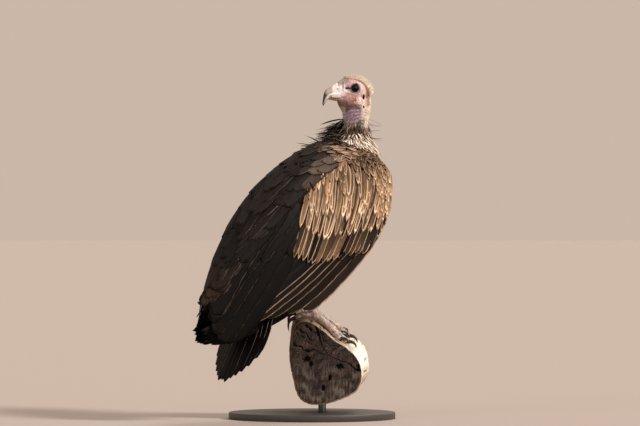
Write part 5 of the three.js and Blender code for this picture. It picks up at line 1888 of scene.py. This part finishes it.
def buildPerch():
    around, rings, lengthwise = woodLook["around"], woodLook["rings"], woodLook["along"]
    turned = -360 * np.arange(around) / around
    reach = branch["reach"]
    along = np.linspace(-reach, reach, lengthwise + 1)
    sides = onBranch(turned[None], along[:, None])
    flatSides = np.column_stack([np.repeat(along, around) * 0.12,
                                 np.tile(np.cos(np.radians(turned)), len(along)) * 60,
                                 np.tile(np.sin(np.radians(turned)), len(along)) * 60])
    outward = unit(sides - (branchMiddle + branchAxis * along[:, None, None]
                            - upZ * (along * branchFall)[:, None, None]))
    furrow = ripple(flatSides, 7, 101) + 0.7 * ripple(flatSides, 3.5, 102)
    split = fade(0.95, 1.25, ripple(flatSides * (0.35, 1, 1), 8, 103)) * 1.8
    relief = -0.5 + 0.35 * np.minimum(furrow, 0.8) - split
    rounded = woodLook["edge"] * fade(1 - 3.5 / reach, 1.0, np.abs(np.repeat(along, around)) / reach) ** 2
    sides = sides + outward * (relief - rounded).reshape(len(along), around)[..., None]
    points = [sides.reshape(-1, 3)]
    lit = outward.reshape(-1, 3) @ branchSide  # the flank towards the bird's front is pale from bleaching and from painted light on the key's side
    low = fade(0.15, -0.75, outward.reshape(-1, 3)[:, 2])
    colour = mix("#8a6a4a", "#faf2e6", fade(-0.35, 0.5, lit + 0.2 * ripple(flatSides, 24, 104)))
    upward = fade(-0.1, 0.75, outward.reshape(-1, 3)[:, 2])
    mottle = 0.5 + 0.5 * ripple(flatSides, 14, 105)
    colour = layered(
        colour,
        # painted shade on the upper side, with mottling
        (mix("#7c6450", "#b99d7c", mottle), 0.85 * upward),
        ("#9a6a3c", low * 0.75),
        # painted shade on the flank turned away from the key
        ("#5b4433", 0.8 * fade(0.35, -0.6, lit) * (1 - low)),
        # painted shade in the splits and furrows
        ("#2a1a10", np.clip(0.7 * split / 1.8 + 0.14 * fade(0.2, -0.9, furrow), 0, 1)),
    )
    colours = [colour]
    faces = []
    for i in range(lengthwise):
        a = i * around + np.arange(around)
        b = i * around + (np.arange(around) + 1) % around
        faces.append(np.stack([a, b, b + around, a + around], axis=1))
    start = len(points[0])
    for way, ring0, seed in ((1, lengthwise * around, 7), (-1, 0, 23)):
        rim = sides[-1] if way > 0 else sides[0]
        pith = branchMiddle + branchAxis * reach * way - upZ * way * reach * branchFall
        pith = pith + branchSide * way * woodLook["pith"][0] + upZ * woodLook["pith"][1]
        share = (1 - np.arange(1, rings) / rings)[:, None, None]
        face = np.concatenate([(pith + (rim - pith) * share).reshape(-1, 3), [pith]])
        off = face - pith
        u, v = off @ (branchSide * way), off[:, 2]
        share = np.append(np.repeat(share.ravel(), around), 0.0)
        depth, ringPlace = sawnFace(u, v, share, seed)
        flat = np.column_stack([u, v, 0 * u])
        sawn = 0.35 * ripple(flat * (1, 0.15, 1), 4, seed + 8) + 0.3 * np.sin(ringPlace * 2 * math.pi / 3.2)
        face = face + branchAxis * way * (-depth * fade(1.0, 0.95, share) + 0.6 * sawn - 0.5)[:, None]
        spot = 0.5 + 0.5 * ripple(flat, 9, seed + 9)
        patch = fade(-0.2, 0.7, ripple(flat, 26, seed + 10))
        tone = mix("#1d1613", "#3a302a", spot)
        fleck = 0.5 + 0.35 * ripple(flat, 7, seed + 11) + 0.25 * ripple(flat, 3, seed + 15)
        tone = mix(tone, "#5d5249", 0.7 * patch * fade(0.5, 1.0, fleck))
        tone = mix(tone, "#57392b", 0.35 * fade(0.3, 0.8, ripple(flat, 18, seed + 12)))
        streak = 0.5 + 0.3 * ripple(flat * (1, 0.3, 1), 6, seed + 13) + 0.25 * ripple(flat, 24, seed + 14)
        tone = mix(tone, "#8b8077", 0.42 * fade(0, -50, v) * fade(0.35, 0.95, streak))
        tone = tone * (1 + 0.14 * np.sin(ringPlace * 2 * math.pi / 3.2))[:, None]
        # painted shade deep in the splits and holes
        tone = mix(tone, "#0d0907", np.clip(depth / 3, 0, 1))
        tone = mix(tone, "#1c130e", 0.8 * fade(0.955, 0.98, share))
        points.append(face)
        colours.append(tone)
        grid = np.vstack([ring0 + np.arange(around), start + np.arange((rings - 1) * around).reshape(-1,
                          around)])
        a, b = grid[:-1], grid[1:]
        quad = np.stack([a, np.roll(a, -1, axis=1), np.roll(b, -1, axis=1), b], axis=-1).reshape(-1, 4)
        last = grid[-1]
        tip = np.stack([last, np.roll(last, -1), np.full(around, start + len(face) - 1)], axis=1)
        tip = np.column_stack([tip, tip[:, 2]])
        both = np.vstack([quad, tip])
        faces.append(both if way > 0 else both[:, ::-1])
        start += len(face)
    points = np.vstack(points) * mm
    faces = np.vstack(faces)
    triangles = np.vstack([faces[:, :3], faces[faces[:, 2] != faces[:, 3]][:, [0, 2, 3]]])
    doubled = (triangles[:, 0] == triangles[:, 1]) | (triangles[:, 1] == triangles[:, 2])
    perch = meshPiece("perch", points, triangles[~doubled], deadWood())
    setAttribute(perch.data, "woodColour", "FLOAT_COLOR", np.vstack(colours))
    settle(perch, "dead_wood", "perch_branch")
    print("perch ready")


buildPerch()


# Along and splay are mm along the branch; round, reach and claw are degrees round it; root and tip are
# radii in mm.
feet = {"right": {"along": 50, "round": -8}, "left": {"along": -16, "round": -8}}
toes = {
    "inner": {"reach": 46, "splay": 22, "root": 7.0, "tip": 5.0, "claw": 17},
    "middle": {"reach": 60, "splay": 3, "root": 7.6, "tip": 5.4, "claw": 17},
    "outer": {"reach": 44, "splay": -20, "root": 6.6, "tip": 4.8, "claw": 15},
    "hind": {"reach": -24, "splay": 6, "root": 6.8, "tip": 5.0, "claw": -16},
}
clawLook = {"root": 3.6, "tip": 0.35, "lift": 7.0, "flatness": 0.8}


# Claw horn: dark, dense and a little glossy.
def clawHorn():
    material, tree, bsdf = startMaterial("clawHorn", Roughness=0.34, IOR=1.54)
    place = addNode(tree, "TexCoord").outputs["Object"]
    grain = addNode(tree, "TexNoise", {"Vector": place, "Scale": 600.0, "Detail": 4.0})  # 1.7 mm flecks
    ramp = addNode(tree, "ValToRGB", {"Fac": grain}, to=bsdf.inputs["Base Color"])
    setStops(ramp, [(0.3, "#171211"), (0.62, "#2a211e"), (0.8, "#473a33")])
    return material


def buildClaws():
    horn = clawHorn()
    look = clawLook
    for side, foot in feet.items():
        for label, toe in toes.items():
            t = np.linspace(-0.12, 1, 9)
            arch = look["lift"] * np.sin(math.pi * np.clip(t, 0, 1) * 0.85)
            height = 2.2 + look["root"] * (1 - t) - 0.4 * t + arch
            spine = onBranch(foot["round"] + toe["reach"] + toe["claw"] * t,
                             foot["along"] + toe["splay"] * (1 + 0.25 * t), height)
            deep = look["root"] * (1 - np.clip(t, 0, 1)) ** 0.8 + look["tip"]
            points, faces = loft(spine, deep * look["flatness"], deep, flat=tuple(branchAxis), steps=30,
                                 sides=20)
            claw = meshPiece(side + label.capitalize() + "Claw", points * mm, faces, horn)
            settle(claw, "claw_horn", side + "_claw_" + label)
    print("claws ready")


buildClaws()


scaleCoat = {
    "blade": {"length": 2.6, "half": 1.3, "rows": 4, "columns": 3, "droop": 0.1, "thick": 0.5,
              "pointed": 0.5},
    "spread": {"Spacing": 0.0018, "Lift": 0.10, "Tousle": 0.08, "Size Spread": 0.15, "Sink": 0.0, "Seed": 21},
}


def buildScales(material):
    height = skinPoints[:, 2]
    colour = legColour(skinPoints)
    spreadCoat("legScales", scaleCoat, material, "leg_skin", ("right_tarsus", "left_tarsus", "right_foot",
               "left_foot"), fade(0.262, 0.250, height), 0.9 + 0.2 * fade(0.2, 0.215, height), colour,
               mix(colour, "#5f5048", 0.6))


buildScales(downKeratin("scaleHorn"))


# The round board and the two rods that carry the branch, in mm.
stand = {"radius": 150, "thick": 12, "bevel": 2.0, "rodRadius": 7, "rodSpread": 52, "rodTop": 59.7}


# Board painted with a dark, dull paint.
def paintedBoard():
    material, tree, bsdf = startMaterial("paintedBoard", Roughness=0.55, IOR=1.5)
    place = addNode(tree, "TexCoord").outputs["Object"]
    peel = addNode(tree, "TexNoise", {"Vector": place, "Scale": 900.0, "Detail": 2.0})  # 1 mm orange peel
    ramp = addNode(tree, "ValToRGB", {"Fac": peel}, to=bsdf.inputs["Base Color"])
    setStops(ramp, [(0.3, "#37342f"), (0.7, "#3f3b36")])
    addNode(tree, "Bump", {"Height": peel, "Strength": 0.15, "Distance": 0.0002}, to=bsdf.inputs["Normal"])
    return material


# Stainless steel with the fine rings of its turning.
def turnedSteel():
    material, tree, bsdf = startMaterial("turnedSteel", Metallic=1.0, Roughness=0.32,
                                         Base_Color=hexColour("#a9a8a4"))
    place = addNode(tree, "TexCoord").outputs["Object"]
    rings = addNode(tree, "TexWave", {"Vector": place, "Scale": 260.0, "Distortion": 0.4},
                    bands_direction="Z")
    addNode(tree, "Bump", {"Height": rings.outputs["Fac"], "Strength": 0.08, "Distance": 0.0001},
            to=bsdf.inputs["Normal"])
    return material


# A closed turned body from its outline, given as (radius, height) from the axis out and back to it, in mm.
def turned(name, outline, middle, material, sides=128):
    outline = np.array(outline, float)
    angle = np.arange(sides) * 2 * math.pi / sides
    inner = outline[1:-1]
    rings = np.stack([np.outer(inner[:, 0], np.cos(angle)), np.outer(inner[:, 0], np.sin(angle)),
                      np.repeat(inner[:, 1:], sides, axis=1)], axis=-1)
    points = np.vstack([rings.reshape(-1, 3), [[0, 0, outline[0, 1]], [0, 0, outline[-1, 1]]]])
    return meshPiece(name, (points + np.array(middle)) * mm, ringFaces(len(inner), sides), material)


def rounded(radius, low, high, bevel):
    turn = np.linspace(0, math.pi / 2, 6)
    top = [(radius - bevel + bevel * math.cos(a), high - bevel + bevel * math.sin(a)) for a in turn]
    return [(0, low), (radius - 0.4, low), (radius, low + 0.4), *top, (0, high)]


def buildStand():
    board, steel = paintedBoard(), turnedSteel()
    base = turned("standBase", rounded(stand["radius"], 0, stand["thick"], stand["bevel"]), (0, 0, 0), board,
                  160)
    pieces = [(base, "stand_base", "stand_board")]
    for node, way in (("stand_rod_a", 1), ("stand_rod_b", -1)):
        middle = np.array((*branch["middle"][:2], 0.0)) + branchAxis * way * stand["rodSpread"]
        outline = rounded(stand["rodRadius"], stand["thick"] + 0.3, stand["rodTop"] + 0.3, 0.6)
        pieces.append((turned("standRod" + node[-1].upper(), outline, middle, steel, 48), node,
                       "stand_steel"))
    for piece, node, slot in pieces:
        settle(piece, slot, node)
    print("stand ready")


buildStand()
